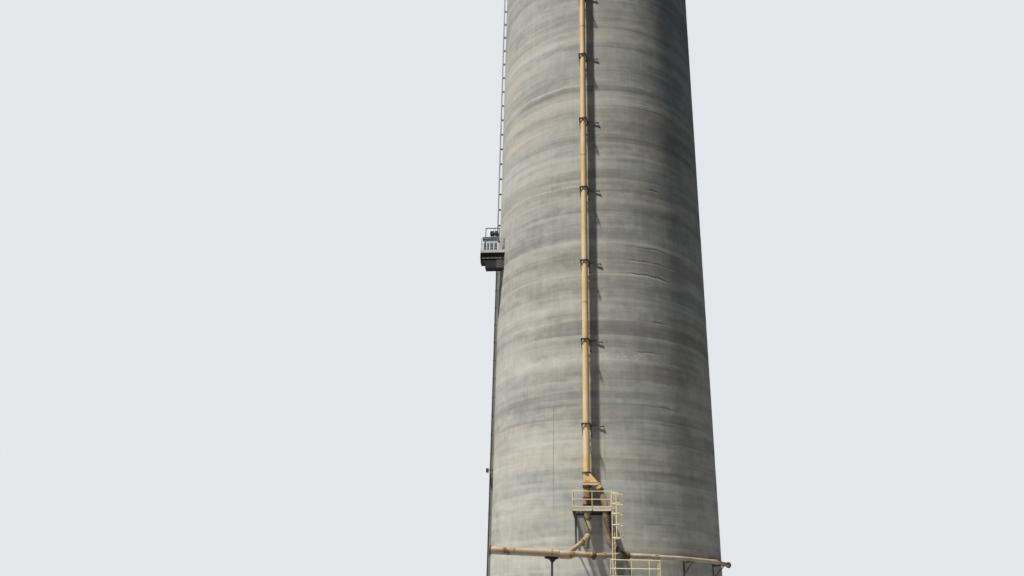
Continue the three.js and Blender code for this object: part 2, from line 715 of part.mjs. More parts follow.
const at = (x, y) => new THREE.Vector3(x, y, 0);
const cornerTrim = RAIL_SIZE / 2 + GAP;
const upperRailY = UPPER_FRONT + 50;
const upperRailLeft = UPPER_LEFT + 45;
const upperRailRight = UPPER_RIGHT - 45;
const upperFrontPosts = [upperRailLeft, UPPER_MID_POST, upperRailRight].map((x) => at(x, upperRailY));
addPiece('upper_rail_front', railPanel(upperFrontPosts, UPPER_FLOOR), 'creamPaint');
const upperLeftPosts = [at(upperRailLeft, upperRailY), at(upperRailLeft, -8640)];
addPiece('upper_rail_left', railPanel(upperLeftPosts, UPPER_FLOOR, cornerTrim), 'creamPaint');

function kneeBracket(x, foot) {
  const top = UPPER_FLOOR - DECK_DEPTH - GAP;
  const wall = -SILO_RADIUS + 300;
  const out = UPPER_FRONT + 80;
  const postFront = -SILO_RADIUS - 90;
  const kneeHead = new THREE.Vector3(x, out + 150, top - 60);
  const kneeFoot = new THREE.Vector3(x, postFront + 20, foot + 120);
  return seatOnWall(fuse([
    box(x - 50, x + 50, out, wall, top - 100, top),
    box(x - 50, x + 50, postFront, wall, foot, top),
    bar(kneeHead, kneeFoot, 70, 80),
  ]));
}

addPiece('upper_bracket_left', kneeBracket(-1850, 7050), 'darkSteel');
addPiece('upper_bracket_right', kneeBracket(UPPER_RIGHT - 55, 7800), 'darkSteel');

const hatch = box(420, 1400, -10880, -10180, LOWER_FLOOR - DECK_DEPTH * 2, LOWER_FLOOR + DECK_DEPTH);
addPiece('lower_deck', deck(LOWER_LEFT, LOWER_RIGHT, LOWER_FRONT, LOWER_FLOOR, [hatch]), 'deckPaint');
const lowerRailY = LOWER_FRONT + 40;
const lowerFrontPosts = LOWER_POSTS.map((x) => at(x, lowerRailY));
addPiece('lower_rail_front', railPanel(lowerFrontPosts, LOWER_FLOOR), 'creamPaint');
const lowerRightX = LOWER_POSTS[LOWER_POSTS.length - 1];
const lowerRightPosts = [at(lowerRightX, lowerRailY), at(lowerRightX, -9700), at(lowerRightX, -8400)];
addPiece('lower_rail_right', railPanel(lowerRightPosts, LOWER_FLOOR, cornerTrim), 'creamPaint');

function lowerLegs() {
  const top = LOWER_FLOOR - DECK_DEPTH - GAP;
  const y = LOWER_FRONT + 60;
  const left = LOWER_LEFT + 90;
  const right = LOWER_RIGHT - 90;
  const leg = 60;
  const parts = [left, right].flatMap((x) => [
    box(x - leg, x + leg, y - leg, y + leg, 0, top),
    box(x - 130, x + 130, y - 110, y + 130, 0, 25),
  ]);
  parts.push(box(left, right, y - 50, y + 50, top - 120, top));
  parts.push(bar(new THREE.Vector3(left, y, 500), new THREE.Vector3(right, y, top - 200), 70, 70));
  parts.push(bar(new THREE.Vector3(right, y, 500), new THREE.Vector3(left, y, top - 200), 60, 60));
  return fuse(parts);
}

addPiece('lower_legs', lowerLegs(), 'darkSteel');

// Ladder and cage; the ladder's own frame has its rails along x and the climber at +y.

const ladderHalf = (LADDER_WIDTH + LADDER_RAIL_THICKNESS) / 2;
const ladderReach = ladderHalf * Math.cos(LADDER_TURN) + (LADDER_RAIL / 2) * Math.sin(LADDER_TURN);
const ladderX = UPPER_RIGHT + GAP + ladderReach;

function placeAtLadder(solid) {
  const geometry = toGeometry(solid).rotateZ(LADDER_TURN);
  return toSolid(geometry.translate(ladderX, LADDER_Y, 0));
}

function ladder() {
  const half = LADDER_WIDTH / 2;
  const parts = [-1, 1].map((side) => {
    const x = side * half;
    const thin = LADDER_RAIL_THICKNESS / 2;
    return box(x - thin, x + thin, -LADDER_RAIL / 2, LADDER_RAIL / 2, 0, LADDER_TOP);
  });
  const rungs = Math.floor(LADDER_TOP / RUNG_STEP);
  for (let i = 1; i <= rungs; i += 1) {
    const z = i * RUNG_STEP;
    parts.push(box(-half, half, -14, 14, z - 14, z + 14));
  }
  return placeAtLadder(fuse(parts));
}

addPiece('ladder', ladder(), 'creamPaint');

function ladderCage() {
  const half = ladderHalf + GAP;
  const strap = 70;
  const centre = -CAGE_RADIUS;
  const outer = new THREE.Shape();
  outer.moveTo(half, 25);
  outer.lineTo(half + 12, 25);
  outer.lineTo(CAGE_RADIUS + 12, centre);
  outer.absarc(0, centre, CAGE_RADIUS + 12, 0, -Math.PI, true);
  outer.lineTo(-half - 12, 25);
  outer.lineTo(-half, 25);
  outer.lineTo(-CAGE_RADIUS, centre);
  outer.absarc(0, centre, CAGE_RADIUS, -Math.PI, 0, false);
  outer.lineTo(half, 25);
  const hoops = CAGE_HOOPS.map((z) => {
    const options = { depth: strap, bevelEnabled: false, curveSegments: 4 };
    return new THREE.ExtrudeGeometry(outer, options).translate(0, 0, z - strap / 2);
  });
  const foot = CAGE_HOOPS[0] - strap / 2;
  const head = CAGE_HOOPS[CAGE_HOOPS.length - 1] + strap / 2;
  const straps = [0, 45, 90, 135, 180].map((degrees) => {
    const angle = THREE.MathUtils.degToRad(-degrees);
    const x = (CAGE_RADIUS + 2) * Math.cos(angle);
    const y = centre + (CAGE_RADIUS + 2) * Math.sin(angle);
    const out = new THREE.Vector3(Math.cos(angle), Math.sin(angle), 0);
    return bar(new THREE.Vector3(x, y, foot), new THREE.Vector3(x, y, head), 55, 14, out);
  });
  return placeAtLadder(fuse([...hoops, ...straps]));
}

addPiece('ladder_cage', ladderCage(), 'creamPaint');

// Cable run up the left side: duct, tray and floodlight

// The levels of the straps and brackets that lie between two heights.
function runLevels(foot, head) {
  const levels = [];
  for (let z = RUN_FIRST_BRACKET; z < head; z += RUN_BRACKET_STEP) {
    if (z > foot) levels.push(z);
  }
  return levels;
}

function cableTray() {
  const face = -(SILO_RADIUS + TRAY_STANDOFF);
  const half = TRAY_WIDTH / 2;
  const wall = -(SILO_RADIUS - 60);
  const parts = [box(-half, half, face - TRAY_DEPTH, face, TRAY_FOOT + GAP, WALL_TOP)];
  for (const z of runLevels(TRAY_FOOT, WALL_TOP)) {
    parts.push(box(-half + 40, half - 40, face - 10, wall, z - 30, z + 30));
  }
  return placeOnWall(fuse(parts), TRAY_BEARING);
}

addPiece('cable_tray', cableTray(), 'galvanised');

function cableDuct() {
  const face = -(SILO_RADIUS + DUCT_DEPTH);
  const half = TRAY_WIDTH / 2;
  const wall = -(SILO_RADIUS - 60);
  const parts = [box(-half, half, face, wall, DUCT_FOOT, TRAY_FOOT)];
  for (const z of runLevels(DUCT_FOOT, TRAY_FOOT)) {
    const strapHalf = half + STRAP_OVERLAP;
    parts.push(box(-strapHalf, strapHalf, face - STRAP_OVERLAP, wall, z - 40, z + 40));
  }
  return placeOnWall(fuse(parts), TRAY_BEARING);
}

addPiece('cable_duct', cableDuct(), 'galvanised');

function floodlight() {
  const z = 13300;
  return placeOnWall(fuse([
    box(-190, -130, -(SILO_RADIUS + 380), -(SILO_RADIUS - 60), z - 30, z + 30),
    box(-260, 60, -(SILO_RADIUS + 560), -(SILO_RADIUS + 330), z - 190, z + 130),
  ]), TRAY_BEARING + 3.2);
}

addPiece('wall_floodlight', floodlight(), 'darkSteel');

// Landing on the left side

function landingDeck() {
  const wall = -SILO_RADIUS + 2500;
  const under = LANDING_FLOOR - LANDING_GIRDER;
  const band = LANDING_FLOOR - LANDING_BAND;
  const [left, front, back] = [LANDING_LEFT, LANDING_FRONT, LANDING_BACK];
  const girderFront = front + GIRDER_INSET;
  const girderBack = back - GIRDER_INSET;
  return seatOnWall(fuse([
    box(left, wall, front, back, LANDING_FLOOR - 60, LANDING_FLOOR),
    box(left, wall, front, girderFront + 20, band, LANDING_FLOOR),
    box(left, wall, girderBack - 20, back, band, LANDING_FLOOR),
    box(left, wall, girderFront, girderFront + GIRDER_THICKNESS, under, LANDING_FLOOR),
    box(left, wall, girderBack - GIRDER_THICKNESS, girderBack, under, LANDING_FLOOR),
    box(left, left + GIRDER_THICKNESS, front, back, under, LANDING_FLOOR),
  ]));
}

addPiece('landing_deck', landingDeck(), 'darkSteel');

// A sheet fixed to the inner or outer face of a landing rail.
function sheet({ left, right, foot, head }, y) {
  return toSolid(box(left, right, y, y + PANEL_THICKNESS, LANDING_FLOOR + foot, LANDING_FLOOR + head));
}

const landingFrontY = LANDING_FRONT + 50;
const landingBackY = LANDING_BACK - 50;
const landingFrontPosts = LANDING_POSTS.map((x) => at(x, landingFrontY));
const landingRailFront = railPanel(landingFrontPosts, LANDING_FLOOR).add(sheet(FRONT_PANEL, landingFrontY));
addPiece('landing_rail_front', landingRailFront, 'galvanised');

const landingBackPosts = [...LANDING_POSTS.slice(0, 4), -8400].map((x) => at(x, landingBackY));
const landingRailBack = railPanel(landingBackPosts, LANDING_FLOOR).add(sheet(BACK_PANEL, landingBackY));
addPiece('landing_rail_back', landingRailBack, 'galvanised');

function landingBracket() {
  const top = LANDING_FLOOR - LANDING_GIRDER - GAP;
  const inWall = -SILO_RADIUS + 600;
  const { left, shallow, inner, deep } = BRACKET_STEPS;
  const side = new THREE.Shape();
  side.moveTo(left, top);
  side.lineTo(left, top - shallow);
  side.lineTo(inner, top - shallow);
  side.lineTo(inner, top - deep);
  side.lineTo(inWall, top - deep);
  side.lineTo(inWall, top);
  const depth = LANDING_BACK - LANDING_FRONT - 2 * BRACKET_STEPS.side;
  const body = new THREE.ExtrudeGeometry(side, { depth, bevelEnabled: false });
  body.rotateX(Math.PI / 2).translate(0, LANDING_BACK - BRACKET_STEPS.side, 0);
  return seatOnWall(toSolid(body));
}

addPiece('landing_bracket', landingBracket(), 'darkSteel');

function landingLightFrame() {
  const foot = LANDING_FLOOR + GAP;
  const head = LANDING_FLOOR + LIGHT_HEAD;
  const y = LANDING_FRONT + 200;
  const [left, right] = [LIGHT_POST_LEFT, LIGHT_POST_RIGHT];
  const size = 30;
  const middle = (LAMP.left + LAMP.right) / 2;
  const [lampFoot, lampHead] = [LANDING_FLOOR + LAMP.foot, LANDING_FLOOR + LAMP.head];
  return fuse([
    box(left - size, left + size, y - size, y + size, foot, head),
    box(right - size, right + size, y - size, y + size, foot, head),
    box(left - size, right + size, y - size, y + size, head - 2 * size, head),
    box(LAMP.left, LAMP.right, y - LAMP.front, y + LAMP.back, lampFoot, lampHead),
    box(middle - 60, middle + 60, y - size, y + size, lampFoot - 20, head),
  ]);
}

addPiece('landing_light_frame', landingLightFrame(), 'darkSteel');

export default silo;
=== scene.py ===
import math

import bpy
import numpy as np
from mathutils import Matrix


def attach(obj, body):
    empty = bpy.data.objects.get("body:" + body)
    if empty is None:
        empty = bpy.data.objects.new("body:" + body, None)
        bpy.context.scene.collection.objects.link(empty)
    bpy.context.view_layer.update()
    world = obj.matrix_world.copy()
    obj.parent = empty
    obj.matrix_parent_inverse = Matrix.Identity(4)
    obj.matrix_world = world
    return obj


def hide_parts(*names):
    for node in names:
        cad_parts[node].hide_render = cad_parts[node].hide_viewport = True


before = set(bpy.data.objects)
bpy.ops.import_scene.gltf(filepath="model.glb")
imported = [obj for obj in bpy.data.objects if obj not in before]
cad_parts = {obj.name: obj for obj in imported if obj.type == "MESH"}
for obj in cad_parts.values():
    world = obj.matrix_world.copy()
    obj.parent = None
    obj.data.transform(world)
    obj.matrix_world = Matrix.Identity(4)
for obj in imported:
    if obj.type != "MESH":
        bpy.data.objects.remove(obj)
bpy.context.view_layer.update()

# Sizes are the real silo's in millimetres; the model is 1:2, in metres.
MODEL_SCALE = 0.5
MILLIMETRE = 0.001 * MODEL_SCALE
UP = np.array([0.0, 0.0, 1.0])

# Seeds of the random draws
LIFT_SEED = 41
LIFT_TONE_SEED = 7
RISER_SEED = 100
LIME_SEED = 23
HAIRLINE_SEED = 41
HEADER_SEED = 31

# Silo shell
SILO_RADIUS = 8500.0
WALL_THICKNESS = 300.0
WALL_TOP = 63700.0
ROOF_TOP = 64000.0
ROOF_RAIL_RADIUS = 8350.0
ROOF_RAIL_POSTS = 24

# Guardrails
RAIL_HEIGHT = 1070.0
MID_RAIL_HEIGHT = 530.0
RAIL_RADIUS = 25.0
RAIL_PARTS = 7

# Riser and its clamps
RISER_BEARING = -6.9
RISER_OFFSET = 9100.0
RISER_RADIUS = 228.5
RISER_FOOT = 11770.0
RISER_LENGTH = 12192.0
RISER_LENGTHS = 4
FIRST_CLAMP = 15050.0
CLAMP_STEP = 6096.0
CLAMPS = 9
CLAMP_ARM = 70.0
CLAMP_CLEARANCE = 0.6
CLAMP_KNEE_DROP = 720.0
WALL_ANGLE_SIZE = 75.0
WALL_ANGLE_DROP = 60.0
WALL_ANGLE_REACH = 1150.0
GOOSENECK_LEVEL = 65700.0
GOOSENECK_BEND = 700.0
ROOF_INLET_OFFSET = 6900.0
FLANGE_RADIUS = 300.0
FLANGE_THICKNESS = 90.0
BRANCH_RADIUS = 220.0
HEADER_RADIUS = 250.0
BLOCK_BEVEL = 8.0

# Header and left branch
HEADER_Y = -10600.0
BELLY_RADIUS = 280.0
TAIL_RADIUS = 190.0
END_FLANGE_RADIUS = 265.0
STUB_RADIUS = 150.0
BLIND_LEG_RADIUS = 199.0
BLIND_LEG_FOOT = 6700.0
# Below this level the left branch is drawn in the darker olive, as painted shade.
PAINTED_SHADE_BELOW = 7600.0
SLIP_COLLAR_FOOT = 8680.0
LEFT_BEND_LEVEL = 8450.0
HEADER_POST_X = -3300.0

# Wall pipe, wye and link
WALL_PIPE_RADIUS = 135.0
WALL_PIPE_OFFSET = 9050.0
WALL_PIPE_LEVEL = 6440.0
WALL_PIPE_BRACKETS = [38, 61]
FIRST_LENGTH_RADIUS = 165.0
WYE_OUTLET_REACH = 520.0
WYE_CORNER_REACH = 1017.0
WYE_RADIUS = 235.0
LINK_RADIUS = 155.0

# Platforms
UPPER_FLOOR = 9230.0
UPPER_FRONT = -10750.0
UPPER_LEFT = -2030.0
UPPER_RIGHT = 500.0
LOWER_FLOOR = 4980.0
LOWER_FRONT = -10950.0
LOWER_LEFT = 330.0
LOWER_RIGHT = 3500.0
LOWER_POSTS = [380.0, 1680.0, 2770.0, 3440.0]
UPPER_SEAM = -730.0
HATCH = (420.0, 1400.0, -10880.0, -10180.0)
DECK_DEPTH = 200.0
TOE_HEIGHT = 100.0
GRATING_PITCH = 41.0
ROD_PITCH = 100.0
JOIST_STEP = 620.0
SEAM_GAP = 18.0
EDGE_CHANNEL = 176.0
HOLE_CLEARANCE = 60.0
KNEES = [("left", -1850.0, 7050.0), ("right", UPPER_RIGHT - 55, 7800.0)]

# Ladder and its cage
LADDER_TURN = 68.0
LADDER_Y = -10530.0
LADDER_WIDTH = 410.0
LADDER_TOP = 10350.0
RUNG_STEP = 304.8
STILE_RUNS = 18
CLIP_LEVELS = [LOWER_FLOOR - 60, 7900, UPPER_FLOOR - 80]
CAGE_RADIUS = 345.0
CAGE_STRAP = 70.0
CAGE_LEVELS = [7370, 8170, 8870, 9500, 10160]

# Cable run and floodlight on the left
RUN_BEARING = -86.0
TRAY_FOOT = 31000.0
TRAY_SECTION = 3048.0
FIRST_STRAP = 900.0
STRAP_STEP = 1524.0
TRAY_DEPTH = 100.0
TRAY_STANDOFF = 180.0
DUCT_DEPTH = 275.0
DUCT_FOOT = 300.0
DUCT_LID = 105.0
FLOODLIGHT_BEARING = -82.8
FLOODLIGHT_LEVEL = 13300.0

# Landing on the left side
LANDING_FLOOR = 30780.0
LANDING_LEFT = -9700.0
LANDING_FRONT = -3650.0
LANDING_BACK = -2710.0
LANDING_GIRDER = 780.0
LANDING_BAND = 250.0
LANDING_POSTS = [-9640.0, -9210.0, -8950.0, -8610.0, -8290.0, -7760.0]
STIFFENER_STEP = 330.0
LANDING_JOISTS = (-9300, -8850, -8400)
LAMP_FRAME = (-9330, -8200)
LAMP_FRAME_HEIGHT = 2050.0
LAMP_RISE = 1300.0
LAMP_MIDDLE = -8600.0

# How the wall's surface is drawn
WALL_COLUMNS = 384
ROW_STEP = 0.21
CRACK_DEPTH = 26.0

# Marks measured on the front of the wall: level in metres, half height, strength, from and to bearing.
LIGHT_RINGS = [
    (50.8, 0.35, 0.35, -20, 60), (47.5, 0.14, 0.6, -75, 10), (43.05, 0.11, 1.5, -95, -2),
    (43.0, 0.09, 0.65, 4, 70), (33.8, 0.08, 0.95, -85, -4), (28.85, 0.09, 0.75, 22, 50),
    (26.0, 0.35, 0.3, -78, -45), (22.8, 0.14, 0.45, -65, 20), (20.1, 0.3, 0.85, -52, 34),
    (15.95, 0.09, 0.5, -70, -18), (7.7, 0.25, 0.3, 0, 60),
]
DARK_BANDS = [
    (48.6, 0.4, 0.26, -80, 50), (45.2, 0.45, 0.26, -60, 60), (42.4, 0.2, 0.2, -75, 30),
    (40.2, 0.25, 0.22, -60, 55), (38.4, 0.35, 0.2, -75, 20), (34.75, 0.4, 0.3, -80, 35),
    (26.9, 0.3, 0.22, -70, 45), (21.1, 0.3, 0.3, -50, 40), (18.7, 0.3, 0.2, -80, 45),
    (17.2, 0.35, 0.24, -75, 60), (14.0, 0.3, 0.34, -68, -42), (14.0, 0.3, 0.32, 2, 60),
    (9.3, 0.4, 0.22, 5, 65),
]
CRACKS = [
    (41.5, 0.035, 0.55, 24, 36), (33.7, 0.05, 0.6, 26, 34), (28.76, 0.045, 0.95, 26, 45),
    (27.56, 0.04, 0.75, 15, 43), (26.43, 0.045, 1.0, 13, 38), (22.86, 0.05, 0.8, 26, 33),
    (20.5, 0.04, 0.5, 16, 41), (18.35, 0.035, 0.45, 28, 41), (16.6, 0.035, 0.4, 20, 38),
]

# Upright hairlines: bearing, top, foot and half their width.
HAIRLINES = [(-23.65, 16500, 9300, 17), (0.95, 15100, 11400, 10)]

# Stage and light; the key light's bearing is counted as the silo's own bearings are.
STAGE_RADIUS = 22.0
STAGE_DROP = 0.002
KEY_ENERGY = 6.6
KEY_ANGLE = 3.0
KEY_COLOUR = (1.0, 0.965, 0.915)
KEY_ELEVATION = 66.0
KEY_BEARING = -48.0
GLOW_COLOUR = (0.72, 0.84, 1.0, 1)
GLOW_STRENGTH = 0.095
BACKDROP_COLOUR = (0.78, 0.8, 0.83, 1)

# The photograph's camera, found from the silo's edges, its form rings and the clamps' even steps.
PHOTO_WIDTH = 1024
FOCAL_PIXELS = 868.0
PITCH, ROLL, TURN = 21.7, 1.36, 6.23
CAMERA_DISTANCE = 34.0
CAMERA_HEIGHT = 0.8


def vec(x, y, z):
    return np.array([x, y, z], float)


def polar(radius, bearing, z=0.0):
    """A point at a bearing round the silo: 0 at the front, 90 at the right."""
    angle = math.radians(bearing)
    return vec(radius * math.sin(angle), -radius * math.cos(angle), z)


def wall_at(x):
    """The wall's y at an x on the front of the silo, or its x at a y on the left."""
    return -math.sqrt(SILO_RADIUS ** 2 - x ** 2)


def unit(v):
    return v / np.linalg.norm(v)


def grid(xs, ys, zs):
    """Every point with one of each coordinate; x changes slowest."""
    return [vec(x, y, z) for x in np.atleast_1d(xs) for y in np.atleast_1d(ys) for z in np.atleast_1d(zs)]


# Directions at the front of the silo, where many pieces are built before they are turned
BACK = vec(0, 1, 0)
FRONT = vec(0, -1, 0)


# Materials; in the pattern calls the numbers are weights, stops and cells per metre


class Shader:
    """A node tree with short calls for the patterns that the materials share."""

    def __init__(self, name):
        self.material = bpy.data.materials.new(name)
        self.material.use_nodes = True
        self.tree = self.material.node_tree
        self.tree.nodes.clear()
        self.coords = self.add("ShaderNodeTexCoord").outputs["Object"]
        self.surface = self.add("ShaderNodeBsdfPrincipled")
        output = self.add("ShaderNodeOutputMaterial")
        self.tree.links.new(self.surface.outputs[0], output.inputs["Surface"])

    def add(self, kind, **settings):
        node = self.tree.nodes.new(kind)
        for key, value in settings.items():
            setattr(node, key, value)
        return node

    def put(self, socket, value):
        if isinstance(value, bpy.types.NodeSocket):
            self.tree.links.new(value, socket)
        else:
            socket.default_value = value

    def texture(self, kind, scale, stretch=(1, 1, 1), shift=0.0):
        """A texture on the object's own coordinates in real metres, moved and stretched."""
        mapping = self.add("ShaderNodeMapping")
        mapping.inputs["Location"].default_value = (shift, shift * 1.7, shift * 0.6)
        mapping.inputs["Scale"].default_value = tuple(s / MODEL_SCALE for s in stretch)
        self.tree.links.new(self.coords, mapping.inputs["Vector"])
        node = self.add(kind)
        self.tree.links.new(mapping.outputs[0], node.inputs["Vector"])
        node.inputs["Scale"].default_value = scale
        return node

    def noise(self, scale, detail=3.0, stretch=(1, 1, 1), roughness=0.5, shift=0.0, warp=0.0):
        """Noise from 0 to 1; scale is in cells per real metre."""
        node = self.texture("ShaderNodeTexNoise", scale, stretch, shift)
        node.inputs["Detail"].default_value = detail
        node.inputs["Roughness"].default_value = roughness
        node.inputs["Distortion"].default_value = warp
        return node.outputs["Fac"]

    def pits(self, scale, size):
        """Small round pits: 1 in a pit, 0 outside."""
        node = self.texture("ShaderNodeTexVoronoi", scale)
        return self.span(node.outputs["Distance"], size, size * 0.6)

    def attribute(self, name):
        return self.add("ShaderNodeAttribute", attribute_name=name).outputs["Fac"]

    def math(self, operation, a, b=0.0):
        node = self.add("ShaderNodeMath", operation=operation)
        self.put(node.inputs[0], a)
        self.put(node.inputs[1], b)
        return node.outputs[0]

    def total(self, *terms):
        """The sum of (value, weight) pairs."""
        result = None
        for value, weight in terms:
            term = self.math("MULTIPLY", value, weight)
            result = term if result is None else self.math("ADD", result, term)
        return result

    def span(self, value, low, high):
        """0 below low, 1 above high, smooth between them."""
        node = self.add("ShaderNodeMapRange", interpolation_type="SMOOTHSTEP")
        self.put(node.inputs["Value"], value)
        node.inputs["From Min"].default_value = low
        node.inputs["From Max"].default_value = high
        return node.outputs["Result"]

    def mix(self, factor, a, b, blend="MIX"):
        node = self.add("ShaderNodeMix", data_type="RGBA", blend_type=blend)
        colours = [s for s in node.inputs if s.type == "RGBA"]
        self.put(node.inputs[0], factor)
        self.put(colours[0], a)
        self.put(colours[1], b)
        return [s for s in node.outputs if s.type == "RGBA"][0]

    def ramp(self, value, *stops):
        node = self.add("ShaderNodeValToRGB")
        elements = node.color_ramp.elements
        while len(elements) < len(stops):
            elements.new(0.5)
        for element, (position, colour) in zip(elements, stops):
            element.position = position
            element.color = (*colour, 1)
        self.put(node.inputs[0], value)
        return node.outputs[0]

    def finish(self, colour, roughness, height=None, depth=0.001, strength=1.0, metallic=None):
        self.put(self.surface.inputs["Base Color"], colour)
        self.put(self.surface.inputs["Roughness"], roughness)
        if metallic is not None:
            self.put(self.surface.inputs["Metallic"], metallic)
        if height is not None:
            bump = self.add("ShaderNodeBump")
            bump.inputs["Strength"].default_value = strength
            bump.inputs["Distance"].default_value = depth
            self.tree.links.new(height, bump.inputs["Height"])
            self.tree.links.new(bump.outputs[0], self.surface.inputs["Normal"])
        return self.material


def rgb(r, g, b):
    return (r, g, b, 1.0)


def concrete(name, tint=1.0):
    """Slip-formed concrete: lifts, lime, damp smudges, run-off streaks, grain and blow holes, with painted
    light and shade round the silo carried in the tone attribute.
    """
    s = Shader(name)
    bands = s.noise(1.0, 4, (0.05, 0.05, 1.1), 0.6, warp=0.5)
    fine = s.noise(1.0, 3, (0.12, 0.12, 3.2), 0.6, shift=3.1, warp=0.3)
    rub = s.noise(1.0, 4, (0.9, 0.9, 2.4), 0.62, shift=13.0)
    blotch = s.noise(0.35, 4, shift=7.3)
    mottle = s.noise(1.5, 5, (1, 1, 0.8), 0.66, shift=11.0)
    streaks = s.noise(1.0, 3, (5.0, 5.0, 0.3), 0.55, shift=5.0)
    grain = s.noise(22.0, 5, roughness=0.7, shift=2.0)
    # The tone attribute brings each lift's tone and the painted light and shade round the silo.
    tone = s.total((s.attribute("tone"), 0.6), (bands, 0.5), (fine, 0.18), (rub, 0.2), (blotch, 0.18),
                   (mottle, 0.28), (streaks, 0.12), (grain, 0.12))
    tone = s.math("SUBTRACT", tone, 0.59)
    shades = [(0.27, (0.215, 0.215, 0.205)), (0.43, (0.315, 0.318, 0.296)),
              (0.54, (0.42, 0.424, 0.388)), (0.72, (0.55, 0.55, 0.505))]
    colour = s.ramp(tone, *[(stop, [c * tint for c in shade]) for stop, shade in shades])
    cast = s.span(s.noise(1.0, 3, (0.08, 0.08, 0.4), shift=17.0, warp=0.4), 0.38, 0.62)
    colour = s.mix(1.0, colour, s.mix(cast, rgb(1.02, 0.985, 0.93), rgb(0.97, 0.98, 0.98)), "MULTIPLY")
    speck = s.span(s.noise(6.5, 4, (1, 1, 1.6), 0.75, shift=9.0), 0.42, 0.64)
    lime = s.math("MULTIPLY", s.attribute("lime"), s.total((speck, 0.75), (mottle, 0.5)))
    colour = s.mix(lime, colour, rgb(0.66, 0.64, 0.59))
    smoke = s.math("MULTIPLY", s.attribute("damp"), s.total((speck, -0.35), (mottle, 1.25)))
    colour = s.mix(smoke, colour, rgb(0.085, 0.08, 0.075))
    ochre = s.math("MULTIPLY", s.attribute("warm"), s.total((streaks, 0.8), (blotch, 0.5)))
    colour = s.mix(ochre, colour, rgb(0.3, 0.235, 0.17))
    holes = s.pits(9.0, 0.13)
    colour = s.mix(s.math("MULTIPLY", holes, 0.45), colour, rgb(0.12, 0.115, 0.105))
    height = s.total((bands, 0.5), (fine, 0.35), (mottle, 0.35), (grain, 0.2), (holes, -0.3))
    rough = s.total((mottle, 0.12), (s.attribute("lime"), 0.03))
    rough = s.math("ADD", rough, 0.82)
    return s.finish(colour, rough, height, 0.006, 0.55)


def paint(name, fresh, faded, rust_share=0.2, roughness=0.5, dirt=0.35):
    """Old paint over steel: fading, streaks of dirt, and rust where it has worn through."""
    s = Shader(name)
    fade = s.noise(0.9, 4, (1, 1, 0.6), 0.6)
    colour = s.mix(s.span(fade, 0.35, 0.65), rgb(*fresh), rgb(*faded))
    streaks = s.noise(1.0, 4, (9, 9, 0.5), 0.6, shift=4.0)
    grime = s.math("MULTIPLY", s.span(streaks, 0.48, 0.8), dirt)
    colour = s.mix(grime, colour, rgb(*(c * 0.38 for c in faded)))
    fleck = s.noise(11.0, 6, roughness=0.72, shift=6.0, warp=0.6)
    patch = s.noise(2.1, 5, (1, 1, 0.8), 0.6, shift=8.0)
    wear = s.attribute("wear")
    worn = s.total((fleck, 0.55), (patch, 0.55), (wear, 0.42))
    rust = s.span(worn, 0.88 - rust_share, 0.96 - rust_share)
    rust_colour = s.ramp(s.noise(14.0, 4, shift=1.0), (0.3, (0.045, 0.02, 0.011)),
                         (0.5, (0.13, 0.055, 0.022)), (0.72, (0.27, 0.125, 0.05)))
    colour = s.mix(rust, colour, rust_colour)
    halo = s.span(worn, 0.8 - rust_share, 0.92 - rust_share)
    stain = s.math("MULTIPLY", s.math("SUBTRACT", halo, rust), 0.4)
    colour = s.mix(stain, colour, rgb(0.25, 0.12, 0.05))
    rough = s.total((rust, 0.35), (fade, 0.2), (grime, 0.3))
    rough = s.math("ADD", rough, roughness - 0.08)
    height = s.total((rust, -0.5), (fleck, 0.25), (fade, 0.1))
    return s.finish(colour, rough, height, 0.0012, 0.5)


def metal(name, light, dark, metallic, roughness, rust_share=0.1):
    """Bare or galvanised steel with spangle, grime and rust in the worn places."""
    s = Shader(name)
    cells = s.noise(18.0, 3, roughness=0.7, shift=2.0)
    cloud = s.noise(1.3, 5, (1, 1, 0.5), 0.6)
    tone = s.total((cells, 0.35), (cloud, 0.65))
    colour = s.mix(s.span(tone, 0.36, 0.66), rgb(*light), rgb(*dark))
    fleck = s.noise(9.0, 6, roughness=0.7, shift=6.0, warp=0.5)
    worn = s.total((fleck, 0.6), (cloud, 0.4), (s.attribute("wear"), 0.4))
    rust = s.span(worn, 0.8 - rust_share, 0.95 - rust_share)
    rust_colour = s.ramp(s.noise(16.0, 4, shift=1.0), (0.3, (0.03, 0.016, 0.01)),
                         (0.52, (0.1, 0.045, 0.02)), (0.75, (0.22, 0.1, 0.045)))
    colour = s.mix(rust, colour, rust_colour)
    rough = s.math("ADD", s.total((rust, 0.3), (tone, 0.25)), roughness - 0.1)
    shine = s.math("MULTIPLY", s.math("SUBTRACT", 1.0, rust), metallic)
    height = s.total((rust, 0.4), (fleck, 0.3), (cells, 0.1))
    return s.finish(colour, rough, height, 0.0012, 0.5, shine)


def rusted(name, light, dark):
    """Steel rusted all over, with scale and darker pitting."""
    s = Shader(name)
    scale = s.noise(13.0, 6, roughness=0.72, warp=0.5)
    cloud = s.noise(1.8, 5, (1, 1, 0.6), 0.6, shift=5.0)
    tone = s.total((scale, 0.5), (cloud, 0.4), (s.attribute("wear"), -0.12))
    middle = [(a + b) / 2 for a, b in zip(light, dark)]
    colour = s.ramp(tone, (0.3, dark), (0.45, middle), (0.62, light))
    rough = s.math("ADD", s.total((scale, 0.25)), 0.68)
    return s.finish(colour, rough, scale, 0.0015, 0.7)


def lens(name, clear=(0.32, 0.34, 0.33), dusty=(0.2, 0.2, 0.18)):
    """Smooth lamp glass with dust on it."""
    s = Shader(name)
    dust = s.noise(6.0, 4)
    colour = s.mix(s.span(dust, 0.4, 0.7), rgb(*clear), rgb(*dusty))
    rough = s.math("ADD", s.math("MULTIPLY", dust, 0.35), 0.08)
    return s.finish(colour, rough)


